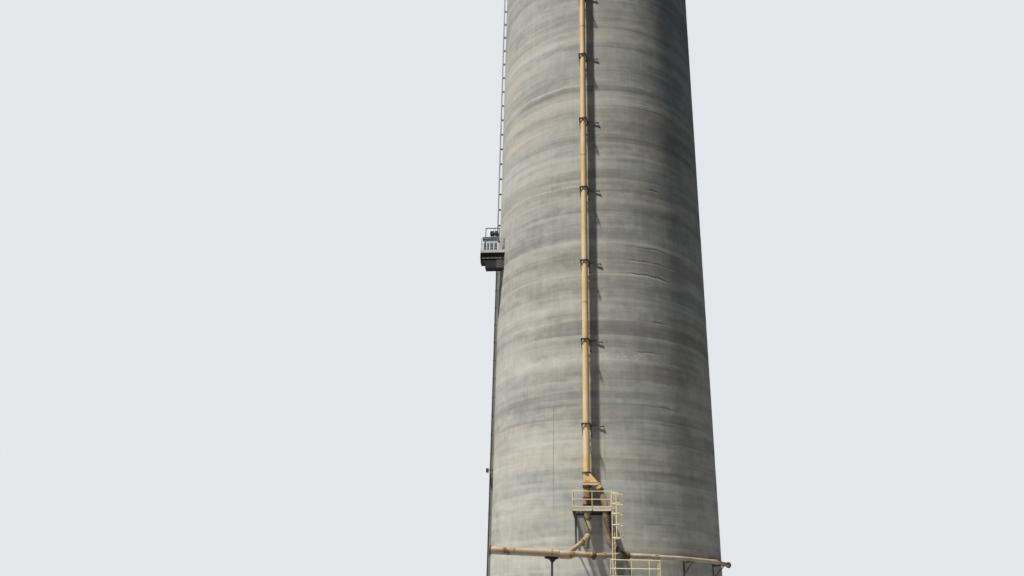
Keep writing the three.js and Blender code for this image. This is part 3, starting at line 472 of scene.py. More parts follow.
def plain_floor(name):
    """Pale matt floor with a faint cloudiness."""
    s = Shader(name)
    cloud = s.noise(0.12, 3)
    colour = s.mix(cloud, rgb(0.34, 0.345, 0.355), rgb(0.36, 0.365, 0.375))
    return s.finish(colour, 0.9)


WALL = concrete("concrete_wall")
ROOF = concrete("concrete_roof", 0.92)
TAN = paint("tan_paint", (0.755, 0.505, 0.215), (0.795, 0.6, 0.335), 0.1, 0.5, 0.3)
PALE_TAN = paint("pale_tan_paint", (0.28, 0.212, 0.13), (0.33, 0.272, 0.182), 0.15, 0.55, 0.5)
RUST = rusted("rusty_steel", (0.2, 0.12, 0.07), (0.06, 0.036, 0.024))
CREAM = paint("cream_paint", (0.7, 0.575, 0.3), (0.74, 0.65, 0.44), 0.11, 0.5, 0.35)
DECK = paint("deck_paint", (0.38, 0.41, 0.41), (0.46, 0.47, 0.45), 0.08, 0.55, 0.5)
CLAMP = rusted("clamp_steel", (0.13, 0.085, 0.05), (0.035, 0.023, 0.016))
# Dark olive: the link pipe's olive-grey paint darkened as painted shade, and painted shade on the left
# branch's lower bend, its blind leg and one flat of the cage.
OLIVE_AND_PAINTED_SHADE = paint("olive_paint_and_painted_shade", (0.2, 0.165, 0.1), (0.25, 0.22, 0.15), 0.1, 0.6, 0.7)
WALL_PIPE = paint("wall_pipe_paint", (0.325, 0.262, 0.178), (0.4, 0.352, 0.265), 0.12, 0.55, 0.55)
DUCT = paint("duct_paint", (0.17, 0.175, 0.14), (0.24, 0.24, 0.195), 0.08, 0.6, 0.6)
ANGLE = rusted("wall_angle_steel", (0.42, 0.4, 0.36), (0.26, 0.245, 0.215))
BLACK = metal("lamp_black", (0.024, 0.024, 0.026), (0.013, 0.013, 0.014), 0, 0.85, 0.05)
DARK = metal("dark_steel", (0.07, 0.07, 0.065), (0.03, 0.03, 0.03), 0.2, 0.6, 0.12)
GALVANISED = metal("galvanised_steel", (0.42, 0.44, 0.44), (0.24, 0.25, 0.255), 0.45, 0.5, 0.06)
GLASS = lens("lamp_glass")
DARK_GLASS = lens("smoked_lamp_glass", (0.02, 0.022, 0.022), (0.045, 0.044, 0.04))
PALE = paint("pale_grey_paint", (0.5, 0.51, 0.5), (0.58, 0.58, 0.54), 0.06, 0.55, 0.45)
WHITE = paint("white_paint", (0.78, 0.79, 0.78), (0.82, 0.81, 0.77), 0.04, 0.5, 0.2)
PANEL = paint("blue_grey_panel", (0.1, 0.13, 0.17), (0.14, 0.17, 0.2), 0.08, 0.5, 0.4)


# Geometry; sizes are cut by a few millimetres where a piece has to stay inside its solid


class Shape:
    """Gathers faces in real millimetres and turns them into one piece."""

    def __init__(self):
        self.points = []
        self.faces = []
        self.slots = []
        self.wear = []
        self.count = 0

    def add(self, points, faces, wear=0.0, slot=0):
        points = np.asarray(points, float)
        self.points.append(points)
        self.faces.extend([tuple(i + self.count for i in face) for face in faces])
        self.slots.extend([slot] * len(faces))
        self.wear.append(np.broadcast_to(np.asarray(wear, float), (len(points),)))
        self.count += len(points)

    def loft(self, rings, wear=0.0, slot=0, closed=False):
        """Joins rings of points; each ring runs anticlockwise seen against the way along."""
        rings = np.asarray(rings, float)
        steps, sides = rings.shape[:2]
        faces = []
        for k in range(steps if closed else steps - 1):
            a, b = k * sides, ((k + 1) % steps) * sides
            for i in range(sides):
                j = (i + 1) % sides
                faces.append((a + i, a + j, b + j, b + i))
        if not closed:
            faces.append(tuple(range(sides))[::-1])
            faces.append(tuple(range((steps - 1) * sides, steps * sides)))
        if np.ndim(wear) == 1:
            wear = np.repeat(wear, sides)
        self.add(rings.reshape(-1, 3), faces, wear, slot)

    def bar(self, start, end, width, depth, hint=UP, chamfer=4.0, wear=0.0, slot=0):
        """A straight bar with chamfered edges; its depth lies along the hint."""
        across, deep, along, length = axes(start, end, hint)
        chamfer = min(chamfer, width * 0.3, depth * 0.3, length * 0.3)
        rings = []
        for place, inset in ((0, chamfer), (chamfer, 0), (length - chamfer, 0), (length, chamfer)):
            w, d = width / 2 - inset, depth / 2 - inset
            c = chamfer - inset * 0.7
            outline = [(w - c, -d), (w, c - d), (w, d - c), (w - c, d),
                       (c - w, d), (-w, d - c), (-w, c - d), (c - w, -d)]
            rings.append([start + along * place + across * u + deep * v for u, v in outline])
        self.loft(rings, wear, slot)

    def box(self, x0, x1, y0, y1, z0, z1, chamfer=4.0, wear=0.0, slot=0):
        x, y = (x0 + x1) / 2, (y0 + y1) / 2
        self.bar(vec(x, y, z0), vec(x, y, z1), x1 - x0, y1 - y0, BACK, chamfer, wear, slot)

    def profile(self, start, end, outline, hint=UP, wear=0.0, slot=0):
        """A rolled section between two points; the outline is (across, deep) pairs."""
        across, deep, _, _ = axes(start, end, hint)
        self.loft([[p + across * u + deep * v for u, v in outline] for p in (start, end)], wear, slot)

    def block(self, outline, start, end, middle, wear=0.2):
        """A body between two y's with bevelled ends; its outline is (x, z) pairs round the middle."""
        away = np.sign(end - start) * BLOCK_BEVEL
        rings = []
        for y, inset in ((start, BLOCK_BEVEL), (start + away, 0), (end - away, 0), (end, BLOCK_BEVEL)):
            rings.append([vec(x + np.sign(middle[0] - x) * inset, y, z + np.sign(middle[1] - z) * inset)
                          for x, z in outline])
        self.loft(rings, wear)

    def housing(self, x0, x1, y0, y1, stages):
        """An upright box whose sides are drawn in at each (level, inset) stage."""
        self.loft([[vec(x0 + inset, y0 + inset, z), vec(x1 - inset, y0 + inset, z),
                    vec(x1 - inset, y1 - inset, z), vec(x0 + inset, y1 - inset, z)]
                   for z, inset in stages], 0.2)

    def turned(self, start, axis, profile, sides=32, wear=0.0, slot=0):
        """A turned body: profile is (distance along the axis, radius) pairs."""
        axis = unit(axis)
        circle = ring(axis, sides)
        self.loft([start + axis * place + circle * radius for place, radius in profile], wear, slot)

    def rod(self, start, end, radius, sides=12, wear=0.0):
        length = np.linalg.norm(end - start)
        self.turned(start, end - start, [(0, radius), (length, radius)], sides, wear)

    def tube(self, points, radius, bend=0.0, sides=24, step=7.5, wear=0.0, slot=0, closed=False):
        """A round pipe along straight runs joined by bends of one radius."""
        stations = path(points, bend, step) if bend else [np.array(p, float) for p in points]
        self.loft(sweep(stations, radius, sides, closed), wear, slot, closed)

    def bolt(self, point, axis, size=24.0, stub=14.0, wear=0.6, slot=0):
        """A washer, a hexagon nut and the end of the bolt."""
        washer, nut, end = size * 1.05, size * 0.82, size * 0.45
        self.turned(point, axis, [(0, washer), (3, washer)], 12, wear, slot)
        self.turned(point + axis * 3, axis, [(0, nut), (size * 0.7, nut), (size * 0.8, nut * 0.85)],
                    6, wear, slot)
        self.turned(point + axis * (3 + size * 0.8), axis, [(0, end), (stub, end)], 8, wear, slot)

    def bolts(self, points, *settings, **more):
        for point in points:
            self.bolt(point, *settings, **more)

    def flange(self, start, axis, radius, thickness, bolts=12, wear=0.35, slot=0, size=24.0):
        """A flange from start along the axis, with a ring of bolts through both faces."""
        axis = unit(axis)
        edge, seam = 6.0, 3.0
        profile = [(0, radius - edge), (edge, radius), (thickness / 2 - seam, radius),
                   (thickness / 2, radius - 8), (thickness / 2 + seam, radius),
                   (thickness - edge, radius), (thickness, radius - edge)]
        self.turned(start, axis, profile, 40, wear, slot)
        a, b = ring_axes(axis)
        for i in range(bolts):
            angle = 2 * math.pi * (i + 0.5) / bolts
            place = start + (a * math.cos(angle) + b * math.sin(angle)) * (radius - size * 1.35)
            self.bolt(place + axis * thickness, axis, size, wear=0.8, slot=slot)
            self.bolt(place, -axis, size, wear=0.8, slot=slot)

    def weld(self, centre, axis, radius, width=16.0, proud=4.0, wear=0.7):
        """A weld bead round a pipe."""
        side = radius + proud * 0.8
        self.turned(centre, axis, [(-width, radius - 1), (-width / 2, side), (0, radius + proud),
                                   (width / 2, side), (width, radius - 1)], 40, wear)

    def turn(self, bearing, lift=0.0, first=0):
        """Turns what was gathered, from the first part on, about the silo's axis and lifts it."""
        matrix = np.array(Matrix.Rotation(math.radians(bearing), 3, "Z"))
        self.points[first:] = [p @ matrix.T + vec(0, 0, lift) for p in self.points[first:]]

    def piece(self, name, slot, materials, *nodes, sharp=32.0, normals=None, attributes=None):
        """The finished object, standing for the CAD nodes named."""
        mesh = bpy.data.meshes.new(name)
        points = np.concatenate(self.points) * MILLIMETRE
        mesh.from_pydata(points.tolist(), [], self.faces)
        for material in materials:
            mesh.materials.append(material)
        mesh.polygons.foreach_set("material_index", self.slots)
        values = {"wear": np.concatenate(self.wear), **(attributes or {})}
        for key, value in values.items():
            layer = mesh.attributes.new(key, "FLOAT", "POINT")
            layer.data.foreach_set("value", np.asarray(value, np.float32))
        mesh.shade_smooth()
        if normals is None:
            mesh.set_sharp_from_angle(angle=math.radians(sharp))
        else:
            mesh.normals_split_custom_set_from_vertices(normals.tolist())
        mesh.update()
        piece = bpy.data.objects.new(name, mesh)
        bpy.context.scene.collection.objects.link(piece)
        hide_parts(*nodes)
        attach(piece, "root")


def axes(start, end, hint):
    along = end - start
    length = np.linalg.norm(along)
    along = along / length
    across = unit(np.cross(hint, along))
    return across, np.cross(along, across), along, length


def ring_axes(axis):
    """Two directions square to an axis, turning anticlockwise about it."""
    side = UP if abs(axis[2]) < 0.9 else vec(1, 0, 0)
    a = unit(np.cross(side, axis))
    return a, np.cross(axis, a)


def ring(axis, sides, start=None):
    """A circle of radius 1 square to an axis, from the start direction where one is given."""
    a, b = ring_axes(axis) if start is None else (start, np.cross(axis, start))
    angles = (np.arange(sides) * 2 * math.pi / sides)[:, None]
    return np.cos(angles) * a + np.sin(angles) * b


def path(points, bend, step=7.5):
    """Stations along straight runs with a round bend at each corner."""
    points = [np.array(p, float) for p in points]
    stations = [points[0]]
    for before, corner, after in zip(points, points[1:], points[2:]):
        back, ahead = unit(before - corner), unit(after - corner)
        half = math.acos(np.clip(back @ ahead, -1, 1)) / 2
        if half > math.pi / 2 - 0.01:
            stations.append(corner)
            continue
        reach = bend / math.tan(half)
        centre = corner + unit(back + ahead) * bend / math.sin(half)
        first, last = corner + back * reach - centre, corner + ahead * reach - centre
        turn = math.pi - 2 * half
        steps = max(2, round(math.degrees(turn) / step))
        for i in range(steps + 1):
            t = i / steps
            point = first * math.sin((1 - t) * turn) + last * math.sin(t * turn)
            stations.append(centre + point / math.sin(turn))
    stations.append(points[-1])
    return stations


def sweep(stations, radius, sides, closed=False):
    """Rings of one radius square to a path."""
    stations = np.array(stations)
    if closed:
        tangents = np.roll(stations, -1, 0) - np.roll(stations, 1, 0)
    else:
        tangents = np.gradient(stations, axis=0)
        for i in range(1, len(stations) - 1):
            tangents[i] = unit(stations[i] - stations[i - 1]) + unit(stations[i + 1] - stations[i])
    tangents = tangents / np.linalg.norm(tangents, axis=1)[:, None]
    a, _ = ring_axes(tangents[0])
    rings = []
    for station, tangent in zip(stations, tangents):
        a = unit(a - tangent * (a @ tangent))
        rings.append(station + radius * ring(tangent, sides, a))
    return rings


def u_bolt(shape, centre, radius, foot, rod, steps, wear):
    """A rod bent over a pipe that runs along x, with both its ends down at the foot level."""
    x, y, z = centre
    turns = [math.pi * k / steps for k in range(steps + 1)]
    arch = [vec(x, y + radius * math.cos(t), z + radius * math.sin(t)) for t in turns]
    shape.tube([vec(x, y + radius, foot), *arch, vec(x, y - radius, foot)], rod, sides=8, wear=wear)


def angle_iron(leg, thickness):
    return [(0, 0), (leg, 0), (leg, thickness), (thickness, thickness), (thickness, leg), (0, leg)]


def channel(depth, width, thickness):
    h = depth / 2
    return [(0, -h), (width, -h), (width, thickness - h), (thickness, thickness - h),
            (thickness, h - thickness), (width, h - thickness), (width, h), (0, h)]


def i_beam(depth, width, web, rim):
    h, w, t = depth / 2, width / 2, web / 2
    return [(-w, -h), (w, -h), (w, rim - h), (t, rim - h), (t, h - rim), (w, h - rim),
            (w, h), (-w, h), (-w, h - rim), (-t, h - rim), (-t, rim - h), (-w, rim - h)]


# Building the silo wall


def wall_noise(seed, bearing, height, cells, rise):
    """Smooth noise in -1..1 with that many cells round the silo and one for each rise in metres."""
    rng = np.random.default_rng(seed)
    rows = int(72 / rise) + 4
    knots = rng.uniform(-1, 1, (rows, cells))
    u, v = np.mod(bearing / 360.0, 1.0) * cells, (height + 2.0) / rise
    iu, iv = np.floor(u).astype(int), np.floor(v).astype(int)
    fu, fv = u - iu, v - iv
    fu, fv = fu * fu * (3 - 2 * fu), fv * fv * (3 - 2 * fv)
    iv = np.clip(iv, 0, rows - 2)
    left, right = iu % cells, (iu + 1) % cells
    low = knots[iv, left] * (1 - fu) + knots[iv, right] * fu
    high = knots[iv + 1, left] * (1 - fu) + knots[iv + 1, right] * fu
    return low * (1 - fv) + high * fv


def between(bearing, start, end, soft=7.0):
    """1 between two bearings, falling to 0 over the soft edge."""
    middle, half = (start + end) / 2, (end - start) / 2
    away = np.abs(np.mod(bearing - middle + 180, 360) - 180)
    soft = min(soft, half)
    return np.clip((half + soft * 0.3 - away) / soft, 0, 1)


def hump(distance, half):
    return np.exp(-((distance / half) ** 2))


def lift_levels():
    """The levels where one lift of the slip form ended and the next began, in metres."""
    rng = np.random.default_rng(LIFT_SEED)
    levels = [0.0]
    while levels[-1] < WALL_TOP / 1000 - 0.6:
        levels.append(levels[-1] + rng.uniform(0.28, 1.25))
    levels[-1] = WALL_TOP / 1000
    return np.array(levels)


def wall_rows(levels):
    """Row levels: close together at each joint and each crack, even between them."""
    rows = set()
    for low, high in zip(levels, levels[1:]):
        steps = max(1, round((high - low) / ROW_STEP))
        rows.update(np.round(low + (high - low) * np.arange(steps) / steps, 3))
        rows.update((round(low + 0.025, 3), round(max(0.0, low - 0.025), 3)))
    for level, *_ in CRACKS:
        rows.update(np.round(level + np.arange(-0.2, 0.21, 0.04), 3))
    for level, half, *_ in LIGHT_RINGS:
        rows.update(np.round(level + half * np.array([-1.2, 0, 1.2]), 3))
    rows.add(WALL_TOP / 1000)
    rows = np.array(sorted(rows))
    keep = np.concatenate([[True], np.diff(rows) > 0.012])
    return rows[keep]


def signed(bearing):
    """The same bearing in -180..180."""
    return np.mod(bearing + 180, 360) - 180


def wall_weathering_and_painted_shade(levels, level, bearing):
    """The relief in millimetres and the weights of tone, lime, damp and warm at each point; the tone includes
    painted light and shade round the silo.
    """

    def noise(seed, cells, rise):
        return wall_noise(seed, bearing, level, cells, rise)

    # Each lift has its own tone and stands a few millimetres in or out.
    lift = np.clip(np.searchsorted(levels, level + 1e-6) - 1, 0, len(levels) - 2)
    rng = np.random.default_rng(LIFT_TONE_SEED)
    tones = rng.normal(0, 1, len(levels))
    steps = rng.uniform(-5, 5, len(levels))
    fade = 0.5 + 0.5 * noise(3, 6, 1.7)
    fade_more = 0.5 + 0.5 * noise(4, 14, 1.1)
    share = (level - levels[lift]) / np.maximum(levels[lift + 1] - levels[lift], 0.05)
    tone = 0.55 + 0.11 * tones[lift] * fade + 0.05 * (share - 0.5)
    tone += 0.09 * noise(5, 9, 3.2) + 0.06 * noise(6, 33, 0.6)
    tone -= 0.05 * np.clip(level / (WALL_TOP / 1000), 0, 1)
    # Painted light and shade: the tone is raised on the left, which faces the key light, and lowered on the
    # right, where the wall turns into shade.
    side = signed(bearing)
    tone += 0.14 * hump(side + 72, 30) - 0.15 * hump(side - 36, 24)
    relief = steps[lift] * fade_more + 3.5 * np.sin(math.pi * share) * fade
    relief += 4.0 * noise(8, 7, 4.0) + 1.6 * noise(9, 60, 0.5)

    lime, damp = np.zeros_like(level), np.zeros_like(level)
    broken = 0.5 + 0.5 * noise(10, 70, 0.5)
    flat = np.zeros_like(level)
    wander = 0.09 * wall_noise(17, bearing, flat, 45, 1.0) + 0.04 * wall_noise(18, bearing, flat, 130, 1.0)
    ragged = np.clip(0.5 + 1.3 * noise(19, 110, 0.3), 0, 1)
    for z, half, strength, start, end in LIGHT_RINGS:
        mark = hump(level - z - wander * 0.6, half) * between(bearing, start, end, 14)
        lime += strength * mark * (0.3 + 0.5 * broken + 0.5 * ragged)
    for z, half, strength, start, end in DARK_BANDS:
        mark = hump(level - z, half) * between(bearing, start, end, 20)
        damp += strength * mark * (0.35 + 0.9 * fade_more)
    for z, half, strength, start, end in CRACKS:
        run = between(bearing, start, end, 3) * np.clip(0.1 + 1.1 * broken, 0, 1)
        away = level - z - wander
        mark = hump(away, half) * run
        damp += 1.25 * strength * mark * (0.4 + 0.6 * ragged)
        lime += 0.8 * strength * hump(away - half * 2.2, half * 1.2) * run * (1 - ragged)
        lime += 0.3 * strength * hump(away + half * 3, half * 2) * run
        relief -= CRACK_DEPTH * strength * mark
    lime += 0.16 * np.clip(noise(12, 40, 0.35) - 0.45, 0, 1)
    damp += 0.28 * np.clip(noise(13, 11, 0.8) - 0.35, 0, 1)
    damp += 0.22 * hump(level, 0.8)

    # Rust-coloured run-off beside the riser.
    warm = 0.16 * hump(signed(bearing - 6.0), 5.5) * np.clip((level - 18) / 9, 0, 1)
    warm += 0.1 * np.clip(noise(15, 12, 5.0), 0, 1)
    return relief, {"tone": tone, "lime": lime, "damp": damp, "warm": warm}


def wall_quarter(number, name, surface, normals, marks):
    """A quarter of the wall: its outer face, its inner face and the two ledges between them."""
    quarter = WALL_COLUMNS // 4
    first = number * quarter - quarter // 2
    columns = np.arange(first, first + quarter + 1) % WALL_COLUMNS
    count, wide = len(surface), quarter + 1
    index = np.arange(count * wide).reshape(count, wide)
    faces = np.stack([index[:-1, :-1], index[:-1, 1:], index[1:, 1:], index[1:, :-1]], -1)
    shape = Shape()
    shape.add(surface[:, columns].reshape(-1, 3), faces.reshape(-1, 4).tolist())
    angle = np.radians(columns * 360.0 / WALL_COLUMNS)
    out = np.stack([np.sin(angle), -np.cos(angle), np.zeros(wide)], -1)
    foot = out * (SILO_RADIUS - WALL_THICKNESS)
    head = foot + UP * WALL_TOP
    strip = [(i, i + 1, wide + i + 1, wide + i) for i in range(wide - 1)]
    shape.add(np.concatenate([surface[0, columns], foot]), [face[::-1] for face in strip])
    shape.add(np.concatenate([surface[-1, columns], head]), strip)
    shape.add(np.concatenate([foot, head]), [(i + 1, i, wide + i, wide + i + 1) for i in range(wide - 1)])
    spare = shape.count - count * wide
    attributes = {}
    for key, values in marks.items():
        flat = np.clip(values[:, columns], 0, 1).reshape(-1)
        attributes[key] = np.concatenate([flat, np.full(spare, 0.5 if key == "tone" else 0.0)])
    shape.piece(f"wall_{name}", "concrete", [WALL],
                f"wall_segment_{(2 * number - 1) % 8 + 1}", f"wall_segment_{2 * number + 1}",
                normals=np.concatenate([normals[:, columns].reshape(-1, 3), np.tile(-UP, (2 * wide, 1)),
                                        np.tile(UP, (2 * wide, 1)), -out, -out]),
                attributes=attributes)


def build_wall():
    levels = lift_levels()
    rows = wall_rows(levels)
    bearings = np.arange(WALL_COLUMNS) * 360.0 / WALL_COLUMNS
    level, bearing = np.meshgrid(rows, bearings, indexing="ij")
    ends = np.clip(np.minimum(level, WALL_TOP / 1000 - level) / 1.5, 0, 1)
    wave = 0.16 * wall_noise(1, bearing, level, 5, 7.0) + 0.05 * wall_noise(2, bearing, level, 19, 2.5)
    relief, marks = wall_weathering_and_painted_shade(levels, level, bearing)
    radius = SILO_RADIUS - 4.0 + relief * np.clip(ends * 4, 0, 1)
    angle = np.radians(bearing)
    height = (level + wave * ends) * 1000
    surface = np.stack([radius * np.sin(angle), -radius * np.cos(angle), height], -1)
    around = (np.roll(surface, -1, 1) - np.roll(surface, 1, 1)) / 2
    normals = np.cross(around, np.gradient(surface, axis=0))
    normals /= np.linalg.norm(normals, axis=-1)[..., None]
    for number, name in enumerate(("front", "right", "back", "left")):
        wall_quarter(number, name, surface, normals, marks)


def roof():
    """Roof slab with a formed edge, a drip groove and a screeded top."""
    shape = Shape()
    edge = SILO_RADIUS - 2
    profile = [(0, edge - 60), (0, edge - 30), (14, edge - 30), (14, edge - 14), (0, edge - 12),
               (60, edge), (150, edge - 3), (156, edge - 9), (162, edge - 3),
               (ROOF_TOP - WALL_TOP - 30, edge), (ROOF_TOP - WALL_TOP, edge - 30)]
    for step in range(1, 12):
        drop = 3.0 * (step % 2)
        profile.append((ROOF_TOP - WALL_TOP - drop, (edge - 30) * (1 - step / 12)))
    shape.turned(vec(0, 0, WALL_TOP), UP, profile, 192)
    shape.piece("roof", "concrete", [ROOF], "roof_slab", sharp=25)


# Building the guardrails; each run is cut into parts that sag by a millimetre or two


def guardrail(shape, posts, floor, first_post=True):
    """Round posts, a top rail and a mid rail along points on the floor."""
    top = RAIL_HEIGHT - RAIL_RADIUS
    for x, y in posts if first_post else posts[1:]:
        head = vec(x, y, floor + top)
        shape.tube([vec(x, y, floor + 1), head], RAIL_RADIUS - 1, sides=16, wear=[0.45, 0.1])
        shape.turned(head - UP * 6, UP, [(0, RAIL_RADIUS + 3), (14, RAIL_RADIUS + 3)], 16, 0.4)
        shape.box(x - 55, x + 55, y - 45, y + 45, floor + 1, floor + 11, 3, 0.4)
        shape.bolts(grid((x - 38, x + 38), y, floor + 11), UP, 13, 6, 0.8)
    for height in (top, MID_RAIL_HEIGHT):
        line = [vec(x, y, floor + height) for x, y in posts]
        runs = [a + (b - a) * k / RAIL_PARTS for a, b in zip(line, line[1:]) for k in range(RAIL_PARTS)]
        runs.append(line[-1])
        sag = np.random.default_rng(int(abs(floor)) + int(height)).uniform(-2.5, 2.5, len(runs))
        shape.tube([p + UP * s for p, s in zip(runs, sag)], RAIL_RADIUS - 1, sides=16, wear=0.12)


def roof_guardrail():
    shape = Shape()
    top, steps = RAIL_HEIGHT - RAIL_RADIUS, ROOF_RAIL_POSTS * 6
    for height in (top, MID_RAIL_HEIGHT - RAIL_RADIUS):
        circle = [polar(ROOF_RAIL_RADIUS, 360 * i / steps, ROOF_TOP + height) for i in range(steps)]
        shape.tube(circle, RAIL_RADIUS - 1, sides=12, wear=0.15, closed=True)
    y, plate = -ROOF_RAIL_RADIUS, ROOF_TOP + 11
    for i in range(ROOF_RAIL_POSTS):
        first = len(shape.points)
        post = [vec(0, y, ROOF_TOP + 1), vec(0, y, ROOF_TOP + top)]
        shape.tube(post, RAIL_RADIUS - 2, sides=14, wear=[0.5, 0.1])
        shape.box(-60, 60, y - 60, y + 60, ROOF_TOP + 1, plate, 3, 0.4)
        shape.bolts(grid((-42, 42), (y - 42, y + 42), plate), UP, 12, 6, 0.8)
        shape.turn(360 * i / ROOF_RAIL_POSTS, first=first)
    shape.piece("roof_rails", "cream_paint", [CREAM], "roof_guardrail")


# Building the riser

riser = polar(RISER_OFFSET, RISER_BEARING)


def riser_length(index):
    """One length with a band at each end, slight dents, and wear at its ends and at the clamps."""
    z0 = RISER_FOOT + index * RISER_LENGTH
    z1 = z0 + RISER_LENGTH - 1
    radius, band = RISER_RADIUS - 3, 5.0
    rng = np.random.default_rng(RISER_SEED + index)
    clamps = FIRST_CLAMP + CLAMP_STEP * np.arange(CLAMPS)
    ends = [z + step for step in (10, 30, 60) for z in (z0, z1 - 2 * step)]
    levels = sorted({*ends, *np.linspace(z0, z1, 49)})
    rings, wear = [], []
    for z, dent in zip(levels, rng.uniform(-1.4, 1.4, len(levels))):
        joint = min(z - z0, z1 - z)
        around = ring(UP, 48, vec(1, 0, 0)) * (radius + dent + (band if joint < 20 else 0.0))
        rings.append(riser + UP * z + around)
        near = np.min(np.abs(clamps - 150 - z))
        wear.append(0.75 * math.exp(-joint / 60) + 0.5 * math.exp(-near / 220) + rng.uniform(0, 0.12))
    shape = Shape()
    shape.loft(rings, wear)
    for z in np.arange(z0 + CLAMP_STEP, z1 - 100, CLAMP_STEP):
        shape.weld(riser + UP * z, UP, radius, 10, 3, 0.55)
    shape.piece(f"riser_{index + 1}", "tan_paint", [TAN], f"riser_pipe_{index + 1}", sharp=50)


def gooseneck():
    height, bend, inlet = GOOSENECK_LEVEL, GOOSENECK_BEND, ROOF_INLET_OFFSET
    foot = RISER_FOOT + RISER_LENGTHS * RISER_LENGTH
    points = [polar(radius, RISER_BEARING, z) for radius, z in
              ((RISER_OFFSET, foot), (RISER_OFFSET, height), (inlet, height), (inlet, ROOF_TOP + 1))]
    inward = unit(points[2] - points[1]) * bend
    rise = UP * bend
    shape = Shape()
    shape.tube(points, RISER_RADIUS - 1, bend, 40, 6, wear=0.08)
    for place, axis in ((points[1] - rise, UP), (points[1] + inward, inward),
                        (points[2] - inward, inward), (points[2] - rise, UP)):
        shape.weld(place, axis, RISER_RADIUS)
    shape.flange(points[3], UP, FLANGE_RADIUS + 58, FLANGE_THICKNESS - 30, 16)
    shape.piece("gooseneck", "tan_paint", [TAN], "riser_gooseneck", sharp=45)


def riser_bracket(index):
    """Built at the front with the pipe's axis on x = 0, then turned to the riser's bearing."""
    half = RISER_RADIUS + CLAMP_CLEARANCE + CLAMP_ARM / 2
    outer = half + CLAMP_ARM / 2
    front, back = -(RISER_OFFSET + half), -(RISER_OFFSET - half)
    wall = -(SILO_RADIUS - 4)
    knee_drop, size, reach, thick = CLAMP_KNEE_DROP, WALL_ANGLE_SIZE, WALL_ANGLE_REACH, 9
    shape = Shape()
    side_angle = [(-35, -35), (35, -35), (35, -25), (-25, -25), (-25, 35), (-35, 35)]
    mirrored = [(-u, v) for u, v in side_angle[::-1]]
    for y, outline in ((front, side_angle), (back, mirrored)):
        shape.profile(vec(-outer, y, 0), vec(outer, y, 0), outline, UP, 0.3)
    for side, outline in ((-1, mirrored), (1, side_angle)):
        x = side * half
        shape.profile(vec(x, front, 0), vec(x, wall - 8, 0), outline, UP, 0.2)
        high, low = vec(x, front + CLAMP_ARM, -8), vec(x, wall - 40, -knee_drop)
        shape.profile(high, low, angle_iron(52, 8), vec(side, 0, 0), 0.3)
        shape.box(x - 60, x + 60, wall - 14, wall, -90, 90, 3, 0.4)
        shape.bolts(grid(x, wall - 14, (-62, 62)), FRONT, 20, 12)
        shape.box(x - 45, x + 45, wall - 40, wall - 28, -knee_drop - 50, -knee_drop + 70, 3, 0.4)
    # Strap round the pipe, with its two bolted ears on the front arm.
    for z in (-22, 22):
        strap = vec(0, -RISER_OFFSET, z) + ring(UP, 30, vec(1, 0, 0)) * (RISER_RADIUS + 4)
        shape.tube(strap, 9, sides=8, closed=True, wear=0.4)
    shape.bolts(grid((-RISER_RADIUS - 20, RISER_RADIUS + 20), front - 35, 0), FRONT, 22, 16)
    shape.bar(vec(-outer + 12, front - 30, 0), vec(outer - 12, front - 30, 0), 10, 66, UP, 2, 0.3)
    # Straight angle bolted to the wall, its far end held off the curve by an anchor rod.
    face = -SILO_RADIUS - size
    top = -WALL_ANGLE_DROP + size / 2
    section = [(1, -thick), (size - thick, -thick), (size - thick, 1 - size),
               (size, 1 - size), (size, 0), (1, 0)]
    shape.profile(vec(-outer, face, top), vec(reach, face, top), section, UP, 0.3, 1)
    anchor = top - 45
    shape.bolts(grid((60 - outer, 60, outer - 60), -SILO_RADIUS - thick, anchor), FRONT, 16, 8)
    far = reach - 45
    shape.rod(vec(far, -SILO_RADIUS - 30, anchor), vec(far, wall_at(far) + 10, anchor), 11)
    shape.turned(vec(far, wall_at(far) - 6, anchor), BACK, [(0, 42), (12, 42)], 16, 0.6)
    shape.bolt(vec(far, -SILO_RADIUS - 10, anchor), FRONT, 16, 8)
    shape.turn(RISER_BEARING, FIRST_CLAMP + index * CLAMP_STEP)
    shape.piece(f"clamp_{index + 1}", "rusty_steel", [CLAMP, ANGLE], f"riser_bracket_{index + 1}")


# Building the thin marks that lie on the wall


def ribbon(bearing, half, z, proud):
    """One cross-section of a mark, its edges inside the concrete and its middle proud of it."""
    turn = math.degrees(half / SILO_RADIUS)
    near, far = SILO_RADIUS - 14, SILO_RADIUS + proud
    return [polar(far, bearing - turn * 0.6, z), polar(near, bearing - turn, z),
            polar(near, bearing + turn, z), polar(far, bearing + turn * 0.6, z)]


def finish_marks(shape, name, **weights):
    weights = {"tone": 0.0, "lime": 0.0, "damp": 0.0, "warm": 0.0, **weights}
    attributes = {key: np.full(shape.count, weight) for key, weight in weights.items()}
    shape.piece(name, "concrete", [WALL], attributes=attributes, sharp=80)


def lime_runs():
    """White runs of lime under the end of each clamp's wall channel."""
    shape = Shape()
    rng = np.random.default_rng(LIME_SEED)
    reach, drop, steps = 1090, 110, 12
    for i in range(CLAMPS):
        level = FIRST_CLAMP + i * CLAMP_STEP - drop
        for _ in range(int(rng.integers(2, 5))):
            centre = math.degrees((reach + rng.uniform(-80, 60)) / SILO_RADIUS) + RISER_BEARING
            width, length = rng.uniform(25, 55), rng.uniform(200, 650)
            rings = []
            for t in np.arange(steps + 1) / steps:
                swell = math.sin(math.pi * min(1, t * 1.2 + 0.2)) ** 0.7
                half = width * (0.35 + 0.65 * swell) * (1.02 - t) / 2
                rings.append(ribbon(centre + rng.uniform(-0.02, 0.02), max(half, 3), level - t * length, 6))
            shape.loft(rings)
    finish_marks(shape, "lime_runs", tone=0.6, lime=0.85)


